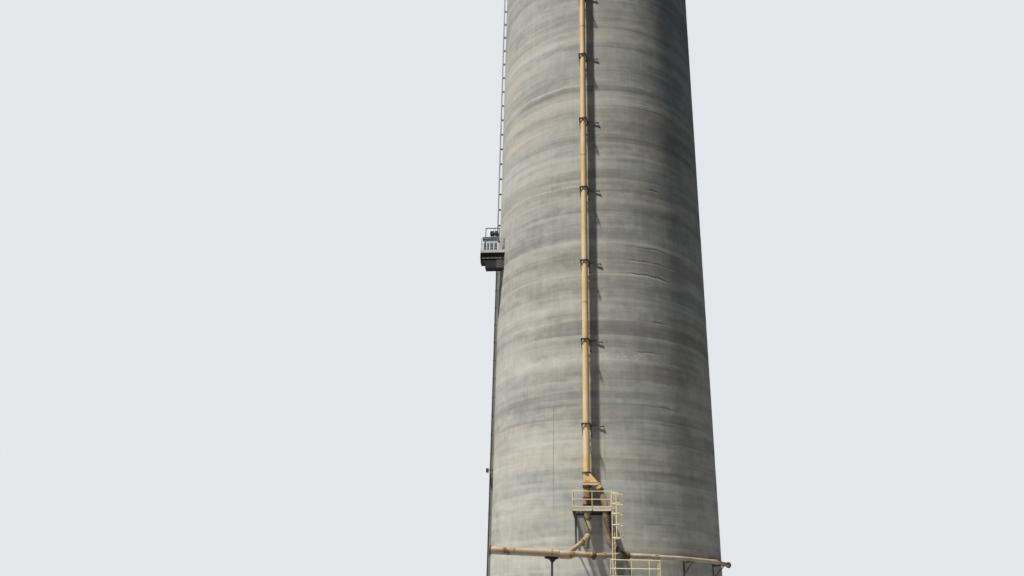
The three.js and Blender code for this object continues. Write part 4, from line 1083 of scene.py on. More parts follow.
def hairlines():
    """Fine upright cracks that sway a little on their way down."""
    shape = Shape()
    rng = np.random.default_rng(HAIRLINE_SEED)
    steps = 70
    for bearing, top, foot, widest in HAIRLINES:
        sway, rings = 0.0, []
        for k in range(steps + 1):
            sway = 0.8 * sway + rng.uniform(-0.025, 0.025)
            half = widest * rng.uniform(0.35, 1.0)
            rings.append(ribbon(bearing + sway, half, top + (foot - top) * k / steps, 5))
        shape.loft(rings)
    finish_marks(shape, "hairline_cracks", damp=1.0)


# Building the diverter, the valve, the branches and the header

left_outlet = vec(riser[0] + 20, riser[1], RISER_FOOT - 870)
diverter_right = left_outlet[0] + 740
neck_top = vec(diverter_right - 110, riser[1], left_outlet[2] + 130)
neck_axis = unit(vec(180, 0, -420))
neck_end = neck_top + neck_axis * 450
valve_foot = UPPER_FLOOR + 330


def diverter():
    shoulder = RISER_FOOT - 1 - FLANGE_THICKNESS
    left, depth = riser[0] - 250, 230.0
    face, z = riser[1] - depth, left_outlet[2]
    side = [(left + 40, shoulder), (left, z + 120), (left, z), (diverter_right, z),
            (diverter_right, z + 180), (riser[0] + 220, shoulder)]
    shape = Shape()
    shape.block(side, riser[1] + depth, face, np.mean(side, 0), 0.1)
    # Seam ribs and the bolted front cover of the housing.
    for h in (z + 22, z + 190):
        shape.bar(vec(left + 8, face - 9, h), vec(diverter_right - 8, face - 9, h), 22, 18, BACK, 3, 0.35)
    shape.bar(vec(left + 110, face - 7, z + 400), vec(left + 420, face - 7, z + 400), 14, 260, UP, 4, 0.2)
    shape.bolts(grid((left + 135, left + 265, left + 395), face - 14, (z + 295, z + 505)), FRONT, 14, 5)
    shape.flange(vec(riser[0], riser[1], shoulder), UP, FLANGE_RADIUS, FLANGE_THICKNESS, 16, 0.7, 1)
    shape.rod(neck_top, neck_end, BRANCH_RADIUS - 1, 40, 0.25)
    shape.weld(neck_top + neck_axis * 150, neck_axis, BRANCH_RADIUS)
    shape.flange(neck_end - neck_axis * 62, neck_axis, FLANGE_RADIUS - 25, 60, 14, 0.6, 1)
    shape.flange(left_outlet - UP * FLANGE_THICKNESS, UP, FLANGE_RADIUS, FLANGE_THICKNESS, 14, 0.7, 1)
    shape.piece("diverter_body", "tan_paint", [TAN, RUST], "diverter")


def left_valve():
    x, y, _ = left_outlet
    foot, top = valve_foot, left_outlet[2] - FLANGE_THICKNESS - 1
    body = BRANCH_RADIUS + 18
    shape = Shape()
    shape.turned(vec(x, y, foot), UP, [(0, body - 10), (150, body), (400, body + 2), (500, body),
                                       (top - foot, body - 8)], 40, 0.3, 1)
    shape.flange(vec(x, y, top - 60), UP, FLANGE_RADIUS - 10, 59, 14, 0.6)
    for rise, thickness, wear, slot in (
            (480, 62, 0.5, 0), (548, 62, 0.4, 1), (0, 80, 0.6, 0), (88, 80, 0.4, 1)):
        shape.flange(vec(x, y, foot + rise), UP, FLANGE_RADIUS, thickness, 14, wear, slot)
    shape.box(x - 58, x + 58, y - 378, y - 150, foot + 210, foot + 430, 8, 0.4)
    shape.turned(vec(x, y - 378, foot + 320), FRONT, [(-30, 40), (0, 40), (0.5, 26), (1, 26)], 16, 0.4)
    shape.bolts(grid((x - 36, x + 36), y - 377, (foot + 245, foot + 395)), FRONT, 13, 2)
    shape.piece("valve", "rusty_steel", [RUST, PALE_TAN], "left_valve")


left_elbow = vec(-950, -9800, 7880)
belly_start = vec(-2830, HEADER_Y, 6338)
belly_end = vec(-2150, HEADER_Y, 6330)
cone_start = vec(-2160, HEADER_Y, 6330)
header_left = vec(-7300, HEADER_Y, 6530)
header_wye = vec(-2830, HEADER_Y, 6395)
header_axis = unit(header_wye - header_left)
tail_left = vec(-1850, HEADER_Y, 6374)
header_right = vec(-665, HEADER_Y, 6300)
tail_axis = unit(header_right - tail_left)
stub_head = vec(-1450, HEADER_Y + 60, 7030)
stub_foot = vec(-2430, HEADER_Y, 6334)
stub_axis = unit(stub_foot - stub_head)


def left_branch():
    """The bent pipe with its slip collar, the reducer on the stub and the blind leg under the bend; the pipe
    below the shade level and the blind leg take the darker olive as painted shade.
    """
    x, y, _ = left_outlet
    radius = BRANCH_RADIUS - 1
    corner, reducer = stub_head - stub_axis * 400, stub_head - stub_axis * 160
    points = [vec(x, y, valve_foot - 1), vec(x, y, LEFT_BEND_LEVEL), left_elbow, corner, reducer]
    stations = path(points, 450, 6)
    # From the shade level down, the pipe takes the darker olive as painted shade on the bend.
    shade = next(i for i, place in enumerate(stations) if place[2] < PAINTED_SHADE_BELOW)
    shape = Shape()
    shape.loft(sweep(stations[:shade + 1], radius, 40), 0.25)
    shape.loft(sweep(stations[shade:], radius, 40), 0.25, 2)
    shape.turned(reducer - stub_axis * 3, stub_axis,
                 [(0, radius - 1), (20, radius - 3), (150, STUB_RADIUS + 6), (161, STUB_RADIUS)], 40, 0.4)
    rim, groove = BRANCH_RADIUS + 44, BRANCH_RADIUS + 22
    collar = vec(x, y, SLIP_COLLAR_FOOT)
    shape.turned(collar, UP, [(0, BRANCH_RADIUS), (2, rim), (48, rim), (56, groove), (64, groove),
                              (72, rim), (118, rim), (120, BRANCH_RADIUS)], 40, 0.55)
    shape.bolts(collar + UP * 30 + rim * ring(UP, 4, polar(1, 120)), UP, 18, 60, 0.8, 1)
    # The blind leg is drawn in the darker olive too, as painted shade.
    foot = vec(corner[0], corner[1], BLIND_LEG_FOOT)
    shape.turned(foot, UP, [(0, 150), (12, 188), (40, BLIND_LEG_RADIUS),
                            (corner[2] - BLIND_LEG_FOOT, BLIND_LEG_RADIUS)], 36, 0.1, 2)
    shape.weld(points[1] + UP * 150, UP, radius, wear=0.3)
    shape.weld(corner - stub_axis * 40, stub_axis, radius, wear=0.3)
    shape.weld(foot + UP * 320, UP, BLIND_LEG_RADIUS, wear=0.3)
    shape.piece("left_branch", "pale_tan_paint", [PALE_TAN, RUST, OLIVE_AND_PAINTED_SHADE], "left_branch_pipe", sharp=45)


def header():
    """The straight pipe, its swollen wye with the stub, and the thinner tail with its end flange."""
    shape = Shape()
    length, steps = np.linalg.norm(header_wye - header_left) + 150, 30
    rng = np.random.default_rng(HEADER_SEED)
    profile, wear = [], []
    for place in length * np.arange(steps + 1) / steps:
        profile.append((place, HEADER_RADIUS - 2 + rng.uniform(-1, 1)))
        patch = math.exp(-((place - 1150) / 650) ** 2)
        wear.append(0.1 + 0.4 * patch + 0.25 * math.exp(-(length - place) / 300))
    shape.turned(header_left, header_axis, profile, 48, wear)
    belly = BELLY_RADIUS - 1
    shape.turned(belly_start, belly_end - belly_start,
                 [(0, 240), (14, 262), (46, belly), (340, BELLY_RADIUS), (680, belly)],
                 48, [0.5, 0.4, 0.3, 0.2, 0.4])
    cone = tail_left - cone_start
    shape.turned(cone_start, cone, [(0, belly), (np.linalg.norm(cone), TAIL_RADIUS)], 48, [0.4, 0.3])
    tail = [(0, TAIL_RADIUS - 1), (np.linalg.norm(header_right - tail_left) - 40, TAIL_RADIUS - 1)]
    shape.turned(tail_left - tail_axis * 20, tail_axis, tail, 40, [0.2, 0.5])
    shape.weld(tail_left, tail_axis, TAIL_RADIUS)
    shape.weld(header_wye + header_axis * 6, header_axis, HEADER_RADIUS + 2)
    shape.rod(stub_head, stub_foot, STUB_RADIUS - 1, 36, 0.1)
    collar, groove = STUB_RADIUS + 44, STUB_RADIUS + 28
    shape.turned(stub_head, stub_axis, [(0, STUB_RADIUS), (1, collar - 5), (6, collar), (44, collar),
                                        (50, groove), (60, groove), (66, collar), (104, collar),
                                        (109, collar - 5), (110, STUB_RADIUS)], 36, 0.35)
    for place in (2000, 4050):
        shape.weld(header_left + header_axis * place, header_axis, HEADER_RADIUS - 2, 12, 3, 0.5)
    shape.flange(header_left, header_axis, HEADER_RADIUS + 54, 60, 16, 0.5, 1)
    shape.flange(header_right - tail_axis * 80, tail_axis, END_FLANGE_RADIUS - 1, 79, 16, 0.8, 1)
    shape.piece("header", "pale_tan_paint", [PALE_TAN, RUST], "header_pipe", sharp=45)


wall_pipe_points = [polar(WALL_PIPE_OFFSET, b, WALL_PIPE_LEVEL) for b in (13, 33, 54, 75)]
wall_pipe_axis = unit(wall_pipe_points[1] - wall_pipe_points[0])
wye_corner = wall_pipe_points[0] - wall_pipe_axis * WYE_CORNER_REACH
wye_outlet = wall_pipe_points[0] - wall_pipe_axis * WYE_OUTLET_REACH
wall_pipe_points[0] = wye_outlet
wye_inlet = vec(700, -9240, 6860)
wye_axis = unit(wye_corner - wye_inlet)
link_end = vec(1000, -9720, 6400)
link_axis = unit(wye_corner - link_end)
right_drop_top = vec(120, -9095, 9600)
right_drop_foot = vec(150, -9120, 8050)


def right_branch():
    start = neck_end + neck_axis
    points = [start, start + neck_axis * 420, right_drop_top, right_drop_foot,
              wye_inlet - wye_axis * 520, wye_inlet - wye_axis]
    shape = Shape()
    shape.tube(points, BRANCH_RADIUS - 1, 600, 40, 6, 0.15)
    shape.flange(start, neck_axis, FLANGE_RADIUS, 68, 14, 0.7, 1)
    for a, b in zip(points[1:], points[2:]):
        along = unit(b - a)
        shape.weld(a + along * min(240, np.linalg.norm(b - a) * 0.45), along, BRANCH_RADIUS - 1)
    shape.piece("right_branch", "pale_tan_paint", [PALE_TAN, RUST], "right_branch_pipe", sharp=45)


def right_wye():
    shape = Shape()
    rim = WYE_RADIUS + 34
    shape.tube([wye_inlet, wye_corner, wye_outlet], WYE_RADIUS - 1, 260, 40, 6, 0.3)
    shape.flange(wye_inlet, wye_axis, rim, 88, 14, 0.6)
    shape.flange(wye_outlet - wall_pipe_axis * 90, wall_pipe_axis, rim, 89, 14, 0.6)
    shape.rod(link_end, wye_corner, LINK_RADIUS - 1, 32, 0.3)
    shape.weld(wye_corner - link_axis * 230, link_axis, LINK_RADIUS)
    shape.piece("wye", "rusty_steel", [RUST], "right_wye", sharp=45)


def coupling(shape, start, end, radius, proud):
    """A sleeve coupling: a middle ring, two follower rings and the long bolts between them."""
    length = np.linalg.norm(end - start)
    along = (end - start) / length
    rim, barrel = radius + proud, radius + proud * 0.55
    profile = [(0, radius), (2, rim), (length * 0.16, rim), (length * 0.2, barrel),
               (length * 0.5, barrel + 4), (length * 0.8, barrel), (length * 0.84, rim),
               (length - 2, rim), (length, radius)]
    shape.turned(start, along, profile, 36, 0.5)
    a, b = ring_axes(along)
    for i in range(6):
        turn = math.radians(60 * i + 20)
        out = (a * math.cos(turn) + b * math.sin(turn)) * (radius + proud * 0.8)
        shape.rod(start + out + along * 4, end + out - along * 4, 8, 8, 0.8)


def header_link():
    start = header_right + tail_axis
    points = [start, start + tail_axis * 200, link_end - link_axis * 250, link_end - link_axis]
    shape = Shape()
    # The pipe takes the darker olive: its olive-grey paint, darkened as painted shade from the deck above.
    shape.tube(points, LINK_RADIUS - 1, 300, 36, 6, 0.35)
    shape.flange(start, tail_axis, END_FLANGE_RADIUS - 1, 69, 16, 0.8, 1)
    shape.turned(start + tail_axis * 60, tail_axis,
                 [(0, 214), (12, 210), (100, LINK_RADIUS + 10), (112, LINK_RADIUS)], 36, 0.9, 1)
    run = points[2] - points[1]
    coupling(shape, points[1] + run * 0.27, points[1] + run * 0.38, LINK_RADIUS, 70)
    shape.piece("link", "pale_tan_paint", [OLIVE_AND_PAINTED_SHADE, RUST], "header_link_pipe", sharp=45)


def wall_pipe():
    """The pipe round to the right, its thicker first length, two couplings and the end flange."""
    points = [wall_pipe_points[0] + wall_pipe_axis, *wall_pipe_points[1:]]
    shape = Shape()
    shape.tube(points, WALL_PIPE_RADIUS - 1, 500, 32, 5, 0.12)
    thick = FIRST_LENGTH_RADIUS
    shape.turned(wye_outlet + wall_pipe_axis * 350, wall_pipe_axis,
                 [(0, WALL_PIPE_RADIUS), (2, thick - 4), (8, thick - 1), (1212, thick - 1),
                  (1218, thick - 4), (1220, WALL_PIPE_RADIUS)], 36, 0.15)
    for run, share in ((0, 0.53), (2, 0.2)):
        a, b = wall_pipe_points[run], wall_pipe_points[run + 1]
        middle, half = a + (b - a) * share, unit(b - a) * 210
        coupling(shape, middle - half, middle + half, WALL_PIPE_RADIUS, 44)
    inward = unit(points[-2] - points[-1])
    shape.flange(points[-1] + inward * 70, -inward, WALL_PIPE_RADIUS + 68, 68, 8, 0.6, 1, 20)
    shape.piece("wall_line", "pale_tan_paint", [WALL_PIPE, RUST], "wall_pipe", sharp=45)


def wall_pipe_bracket(index):
    """Built at the front, then turned: a channel arm, an angle knee and an anchored wall plate."""
    top = WALL_PIPE_LEVEL - WALL_PIPE_RADIUS - 5
    wall = -(SILO_RADIUS - 2)
    shape = Shape()
    shape.profile(vec(-40, wall - 16, top - 50), vec(-40, wall - 1045, top - 50), channel(98, 78, 9), UP, 0.3)
    shape.profile(vec(-26, wall - 20, top - 880), vec(-26, wall - 850, top - 100), angle_iron(56, 8), UP, 0.3)
    shape.box(-78, 78, wall - 28, wall + 4, top - 998, top + 58, 4, 0.3)
    for z in (top + 20, top - 150, top - 700, top - 950):
        shape.bolts(grid((-52, 52), wall - 28, z), FRONT, 17, 10)
    u_bolt(shape, (0, -WALL_PIPE_OFFSET, WALL_PIPE_LEVEL), WALL_PIPE_RADIUS + 8, top - 20, 9, 12, 0.6)
    shape.turn(WALL_PIPE_BRACKETS[index])
    shape.piece(f"wall_bracket_{index + 1}", "rusty_steel", [CLAMP], f"wall_pipe_bracket_{index + 1}")


def header_post():
    """An I-beam post on a bolted foot, its saddle beam under the header and the strap over it."""
    x, y, half = HEADER_POST_X, HEADER_Y, 70.0
    share = (x - header_left[0]) / header_axis[0]
    saddle = header_left + header_axis * share - UP * (HEADER_RADIUS + 1 + 55)
    shape = Shape()
    section = i_beam(2 * half - 1, 2 * half - 1, 10, 13)
    shape.profile(vec(x, y, 30), vec(x, y, saddle[2] - 54), section, BACK, 0.25)
    shape.box(x - 259, x + 259, y - 259, y + 259, 1, 30, 5, 0.5)
    shape.bolts(grid((x - 210, x + 210), (y - 210, y + 210), 30), UP, 28, 30)

    def gusset(foot, side, outline, wear):
        plate = [foot + vec(side * u, 0, v) for u, v in outline]
        shape.loft([[p + BACK * 6 for p in plate], [p - BACK * 6 for p in plate]], wear)

    toe = [(7, 30), (200, 30), (200, 50), (20, 230), (7, 230)]
    for side in (-1, 1):
        gusset(vec(x, y, 0), side, toe[::side], 0.4)
    left, right = saddle - header_axis * 465, saddle + header_axis * 405
    shape.profile(left, right, i_beam(108, 258, 16, 14), UP, 0.3)
    for inner in (left + header_axis * 60, right - header_axis * 60):
        shape.bar(inner - UP * 52, inner + UP * 50, 12, 250, BACK, 3, 0.35)
    # Curved gusset under the saddle on the left, a straight one on the right.
    curve = [math.radians(a) for a in range(10, 91, 10)]
    rim = [(8, 0), (8, -290), *[(8 + 300 * (1 - math.cos(a)), -290 + 290 * math.sin(a)) for a in curve]]
    for side, outline in ((-1, rim), (1, [(8, 0), (8, -200), (40, -200), (230, 0)])):
        gusset(vec(x + side * (half - 10), y, saddle[2] - 53), side, outline, 0.35)
    centre = (x, y, saddle[2] + 56 + HEADER_RADIUS)
    u_bolt(shape, centre, HEADER_RADIUS + 8, saddle[2] - 30, 11, 16, 0.5)
    shape.piece("t_post", "dark_steel", [DARK], "header_post")


# Building the platforms


def clear_runs(place, spans, holes, hatch, shortest):
    """What is left of a bar's spans between the pipe holes and the hatch.

    The bar lies at a place; holes are (place, middle, radius), the hatch is (from, to, start, end)."""
    blocks = []
    for across, middle, radius in holes:
        if abs(place - across) < radius:
            half = math.sqrt(radius ** 2 - (place - across) ** 2)
            blocks.append((middle - half, middle + half))
    if hatch and hatch[0] < place < hatch[1]:
        blocks.append(hatch[2:])
    for start, end in blocks:
        spans = [run for a, b in spans for run in ((a, min(b, start)), (max(a, end), b))]
    return [(a, b) for a, b in spans if b - a > shortest]


def grating(shape, x0, x1, front, floor, holes, hatch):
    """Bar grating: upright bearing bars front to back, with cross rods over them."""
    for x in np.arange(x0 + GRATING_PITCH, x1, GRATING_PITCH):
        for low, high in clear_runs(x, [(front, wall_at(x) - 3)], holes, hatch, 5):
            shape.box(x - 3, x + 3, low, high, floor - 30, floor - 2, 0.5, 0.25, 2)
    back = max(wall_at(x0), wall_at(x1)) - 3
    holes = [(y, x, radius) for x, y, radius in holes]
    hatch = hatch and (*hatch[2:], *hatch[:2])
    for y in np.arange(front + 60, back, ROD_PITCH):
        inner = SILO_RADIUS ** 2 - y ** 2
        reach = math.sqrt(max(inner, 0.0))
        spans = [(x0, x1)] if inner <= 0 else [(x0, min(x1, -reach)), (max(x0, reach), x1)]
        for a, b in clear_runs(y, spans, holes, hatch, 20):
            shape.bar(vec(a, y, floor - 8), vec(b, y, floor - 8), 7, 7, UP, 1, 0.3, 2)


def deck(shape, x0, x1, front, floor, seams, holes, hatch):
    """Fascia panels with a yellow edge above and below, edge channels, joists, ledger and grating."""
    under, toe, middle = floor - DECK_DEPTH, floor + TOE_HEIGHT, floor - 102
    grating(shape, x0 + 45, x1 - 12, front + 45, floor, holes, hatch)
    for x, y, radius in holes:
        sleeve = [(0, radius + 8), (30, radius + 8), (30, radius), (0, radius)]
        shape.turned(vec(x, y, floor - 14), UP, sleeve, 32, 0.6, 1)
    edges = [x0, *seams, x1]
    for a, b in zip(edges, edges[1:]):
        left = a + (SEAM_GAP if a != x0 else 0)
        right = b - (SEAM_GAP if b != x1 else 0)
        shape.box(left, right, front + 4, front + 12, under + 60, toe - 62, 3, 0.1)
        for z, size in ((toe - 68, 68), (under, 64)):
            shape.box(left, right, front, front + 40, z, z + size, 3, 0.2, 1)
        for x in (left + 12, right - 12):
            shape.box(x - 12, x + 12, front, front + 10, under, toe, 3, 0.2, 1)
    shape.profile(vec(x0 + 3, front + 50, middle), vec(x1 - 3, front + 50, middle),
                  channel(EDGE_CHANNEL, 60, 8), UP, 0.3, 2)
    for edge, sign in ((x0, 1), (x1, -1)):
        back, x = wall_at(edge) - 2, edge + sign * 5
        shape.bar(vec(x, front, floor - 50), vec(x, back, floor - 50), 10, 298, UP, 3, 0.15, 1)
        x, section = edge + sign * 12, [(u * -sign, v) for u, v in channel(EDGE_CHANNEL, 55, 8)][::-sign]
        shape.profile(vec(x, front + 40, middle), vec(x, back - 4, middle), section, UP, 0.3, 2)
    count = max(3, round((x1 - x0) / JOIST_STEP))
    for i in range(1, count):
        x = x0 + (x1 - x0) * i / count
        near = [y - radius for hole, y, radius in holes if abs(x - hole) < radius + 30]
        stop = wall_at(x) - 8
        if near:
            stop = min(near) - 20
        elif hatch and hatch[0] < x < hatch[1]:
            stop = hatch[2] - 5
        if stop > front + 150:
            shape.bar(vec(x, front + 60, floor - 75), vec(x, stop, floor - 75), 50, 120, UP, 6, 0.3, 2)
    section = [(2, floor - 14), (12, floor - 14), (12, under + 12), (58, under + 12), (58, under), (2, under)]
    bearings = [math.degrees(math.asin(x / SILO_RADIUS)) for x in np.linspace(x0 + 4, x1 - 4, 25)]
    shape.loft([[polar(SILO_RADIUS + out, bearing, z) for out, z in section] for bearing in bearings], 0.3, 2)
    for bearing in bearings[2:-1:3]:
        shape.bolt(polar(SILO_RADIUS + 12, bearing, under + 90), polar(1, bearing), 20, 10, 0.8, 2)
    if hatch:
        hx0, hx1, hy0, hy1 = hatch
        for y in (hy0, hy1):
            shape.box(hx0 - 10, hx1 + 10, y - 12, y + 12, floor - 90, floor + 6, 3, 0.4, 1)
        for x in (hx0, hx1):
            shape.box(x - 12, x + 12, hy0, hy1, floor - 90, floor + 6, 3, 0.4, 1)


def decks():
    holes = [(*place[:2], BRANCH_RADIUS + HOLE_CLEARANCE) for place in (left_outlet, right_drop_top)]
    for level, edges, seams, openings, hatch in (
            ("upper", (UPPER_LEFT, UPPER_RIGHT, UPPER_FRONT, UPPER_FLOOR), [UPPER_SEAM], holes, None),
            ("lower", (LOWER_LEFT, LOWER_RIGHT, LOWER_FRONT, LOWER_FLOOR), LOWER_POSTS[1:-1], [], HATCH)):
        shape = Shape()
        deck(shape, *edges, seams, openings, hatch)
        shape.piece(f"{level}_platform", "deck_paint", [DECK, CREAM, DARK], f"{level}_deck")


def platform_rails():
    upper, lower = UPPER_FRONT + 50, LOWER_FRONT + 40
    left, right = UPPER_LEFT + 45, LOWER_POSTS[-1]
    for level, side, floor, posts in (
            ("upper", "front", UPPER_FLOOR, [(x, upper) for x in (left, UPPER_SEAM, UPPER_RIGHT - 45)]),
            ("upper", "left", UPPER_FLOOR, [(left, y) for y in (upper + 26, -9650, -8640)]),
            ("lower", "front", LOWER_FLOOR, [(x, lower) for x in LOWER_POSTS]),
            ("lower", "right", LOWER_FLOOR, [(right, y) for y in (lower + 26, -9700, -8400)])):
        shape = Shape()
        guardrail(shape, posts, floor, side == "front")
        shape.piece(f"{level}_{side}_rail", "cream_paint", [CREAM], f"{level}_rail_{side}")


def knee_bracket(side, x, foot):
    """An arm under the upper deck, its post on the wall and the brace between them."""
    top = UPPER_FLOOR - DECK_DEPTH - 1
    wall, out, post = wall_at(x) - 2, UPPER_FRONT + 80, -SILO_RADIUS - 43
    shape = Shape()
    shape.profile(vec(x, out, top - 50), vec(x, wall, top - 50), i_beam(98, 96, 10, 10), UP, 0.3)
    shape.box(x - 48, x + 48, wall - 14, wall + 2, foot, top, 3, 0.4)
    shape.profile(vec(x - 46, post, foot), vec(x - 46, post, top - 100), channel(80, 92, 8), BACK, 0.3)
    brace = [(u - 34, v - 38) for u, v in angle_iron(68, 9)]
    shape.profile(vec(x, out + 150, top - 90), vec(x, post - 25, foot + 120), brace, UP, 0.3)
    for z in (foot + 60, foot + 420, top - 160):
        shape.bolts(grid((x - 30, x + 30), wall - 14, z), FRONT, 16, 10)
    shape.piece(f"knee_{side}", "dark_steel", [DARK], f"upper_bracket_{side}")


def lower_legs():
    """Two I-beam legs on bolted feet, the channel between their heads and the crossed braces."""
    top, y = LOWER_FLOOR - DECK_DEPTH - 1, LOWER_FRONT + 60
    left, right = LOWER_LEFT + 90, LOWER_RIGHT - 90
    low, high = 500, top - 200
    shape = Shape()
    for x, inner in ((left, left + 70), (right, right - 70)):
        shape.profile(vec(x, y, 25), vec(x, y, top), i_beam(118, 118, 10, 12), BACK, 0.25)
        shape.box(x - 128, x + 128, y - 108, y + 128, 1, 25, 4, 0.5)
        shape.bolts(grid((x - 95, x + 95), (y - 75, y + 95), 25), UP, 20, 16)
        for z in (low, high):
            shape.box(min(x, inner) - 55, max(x, inner) + 55, y - 38, y - 28, z - 110, z + 110, 3, 0.4)
            shape.bolts(grid(inner, y - 38, (z - 60, z + 60)), FRONT, 16, 8)
    shape.profile(vec(left, y - 45, top - 60), vec(right, y - 45, top - 60), channel(118, 90, 9), UP, 0.3)
    brace = [(u - 20, v - 30) for u, v in angle_iron(62, 8)]
    for z0, z1, off in ((low, high, -28), (high, low, 28)):
        shape.profile(vec(left, y + off, z0), vec(right, y + off, z1), brace, BACK, 0.3)
    shape.piece("platform_legs", "dark_steel", [DARK], "lower_legs")


# Building the ladder and its cage, in the ladder's own frame with the climbing side at -y

ladder_half = (LADDER_WIDTH + 24) / 2
ladder_reach = ladder_half * math.cos(math.radians(LADDER_TURN)) + 25 * math.sin(math.radians(LADDER_TURN))
ladder_x = UPPER_RIGHT + 0.6 + ladder_reach


def place_at_ladder(shape):
    shape.turn(LADDER_TURN)
    shape.points = [p + vec(ladder_x, LADDER_Y, 0) for p in shape.points]


def ladder():
    """Two flat stiles in short runs, their clips at the decks, and round rungs."""
    half, runs = LADDER_WIDTH / 2, STILE_RUNS
    shape = Shape()
    for side in (-1, 1):
        x, clip = side * half, side * (half - 6)
        for k in range(runs):
            chamfer = 3 if k in (0, runs - 1) else 0.6
            z0, z1 = LADDER_TOP * k / runs, LADDER_TOP * (k + 1) / runs
            shape.box(x - 12, x + 12, -25, 25, z0 + 0.5, z1, chamfer, 0.12)
        for z in CLIP_LEVELS:
            shape.box(clip - 10, clip + 10, -20, 36, z - 30, z + 30, 3, 0.5)
            shape.bolt(vec(x - side * 16, 10, z), vec(-side, 0, 0), 12, 5)
    for i in range(1, int(LADDER_TOP / RUNG_STEP) + 1):
        z = i * RUNG_STEP
        shape.rod(vec(2 - half, 0, z), vec(half - 2, 0, z), 14, 14, 0.35)
        for side in (-1, 1):
            shape.turned(vec(side * (half - 14), 0, z), vec(side, 0, 0), [(0, 15), (4, 19), (8, 20)], 12, 0.6)
    place_at_ladder(shape)
    shape.piece("ladder_rails", "cream_paint", [CREAM], "ladder")


def ladder_cage():
    """Round straps joined by five upright flats, bolted together; the flat at 0 degrees takes the darker
    olive as painted shade.
    """
    shape = Shape()
    half, radius = ladder_half + 0.6, CAGE_RADIUS + 6
    bend = [math.radians(a) for a in range(0, -181, -10)]
    line = [(radius * math.cos(a), radius * math.sin(a) - CAGE_RADIUS) for a in bend]
    line = np.array([(half + 6, 25.0), *line, (-half - 6, 25.0)])
    tangent = np.gradient(line, axis=0)
    tangent /= np.linalg.norm(tangent, axis=1)[:, None]
    out = np.stack([-tangent[:, 1], tangent[:, 0]], -1) * 5
    for z in CAGE_LEVELS:
        low, high = z - CAGE_STRAP / 2, z + CAGE_STRAP / 2
        shape.loft([[vec(*(p - n), low), vec(*(p + n), low), vec(*(p + n), high), vec(*(p - n), high)]
                    for p, n in zip(line, out)], 0.2)
    foot, head = UP * (CAGE_LEVELS[0] - CAGE_STRAP / 2), UP * (CAGE_LEVELS[-1] + CAGE_STRAP / 2)
    for degrees in (0, 45, 90, 135, 180):
        away = polar(1, 90 - degrees)
        base = away * (CAGE_RADIUS - 4) - BACK * CAGE_RADIUS
        # The flat at 0 degrees is drawn in the darker olive, as painted shade.
        shape.bar(base + foot, base + head, 52, 8, away, 2, 0.2, 1 if degrees == 0 else 0)
        shape.bolts([base + away * 16 + UP * z for z in CAGE_LEVELS], away, 11, 4, 0.7)
    for z in CAGE_LEVELS:
        for side in (-1, 1):
            shape.bolt(vec(side * (half + 12), 8, z), vec(side, 0, 0), 12, 5, 0.7)
    place_at_ladder(shape)
    shape.piece("cage", "cream_paint", [CREAM, OLIVE_AND_PAINTED_SHADE], "ladder_cage")


# Building the cable run and the floodlight


def run_levels(foot, head):
    """Levels of the straps and brackets between two heights."""
    return [z for z in np.arange(FIRST_STRAP, head, STRAP_STEP) if z > foot]


def cable_tray():
    """Open tray with its cables, held off the wall on angle brackets."""
    wall, face = -(SILO_RADIUS - 4), -(SILO_RADIUS + TRAY_STANDOFF)
    low, high = TRAY_FOOT + 2, WALL_TOP
    lid, middle = face - TRAY_DEPTH, face - TRAY_DEPTH / 2
    shape = Shape()
    trough = [(-148, 48), (-148, -40), (-140, -46), (140, -46), (148, -40), (148, 48), (138, 48),
              (138, -30), (-138, -30), (-138, 48)]
    z = low
    while z < high - 10:
        end = min(z + TRAY_SECTION, high)
        shape.profile(vec(0, middle, z + 3), vec(0, middle, end - 3), trough, BACK, 0.15)
        shape.box(-150, 150, lid, lid + 8, z + 6, end - 6, 3, 0.1)
        if end < high - 10:
            shape.box(-152, 152, lid - 1, face, end - 60, end + 60, 4, 0.35)
            shape.bolts(grid((-120, 120), lid - 1, (end - 35, end + 35)), FRONT, 12, 3)
        z = end
    for x, radius in ((-90, 22), (-35, 28), (30, 18), (85, 24)):
        y = face - 32 - radius * 0.2
        shape.tube([vec(x, y, low + 20), vec(x, y, high - 20)], radius, sides=10, slot=1)
    for z in run_levels(TRAY_FOOT, WALL_TOP):
        shape.bar(vec(-112, face - 6, z), vec(112, face - 6, z), 60, 10, BACK, 2, 0.5, 1)
        for x in (-80, 80):
            shape.profile(vec(x, face - 8, z - 28), vec(x, wall - 6, z - 28), angle_iron(56, 9), UP, 0.5, 1)
            shape.box(x - 45, x + 45, wall - 12, wall + 2, z - 50, z + 50, 2, 0.5, 1)
            shape.bolt(vec(x, wall - 12, z), FRONT, 16, 8, 0.8, 1)
    shape.turn(RUN_BEARING)
    shape.piece("tray", "galvanised_steel", [GALVANISED, DARK], "cable_tray")


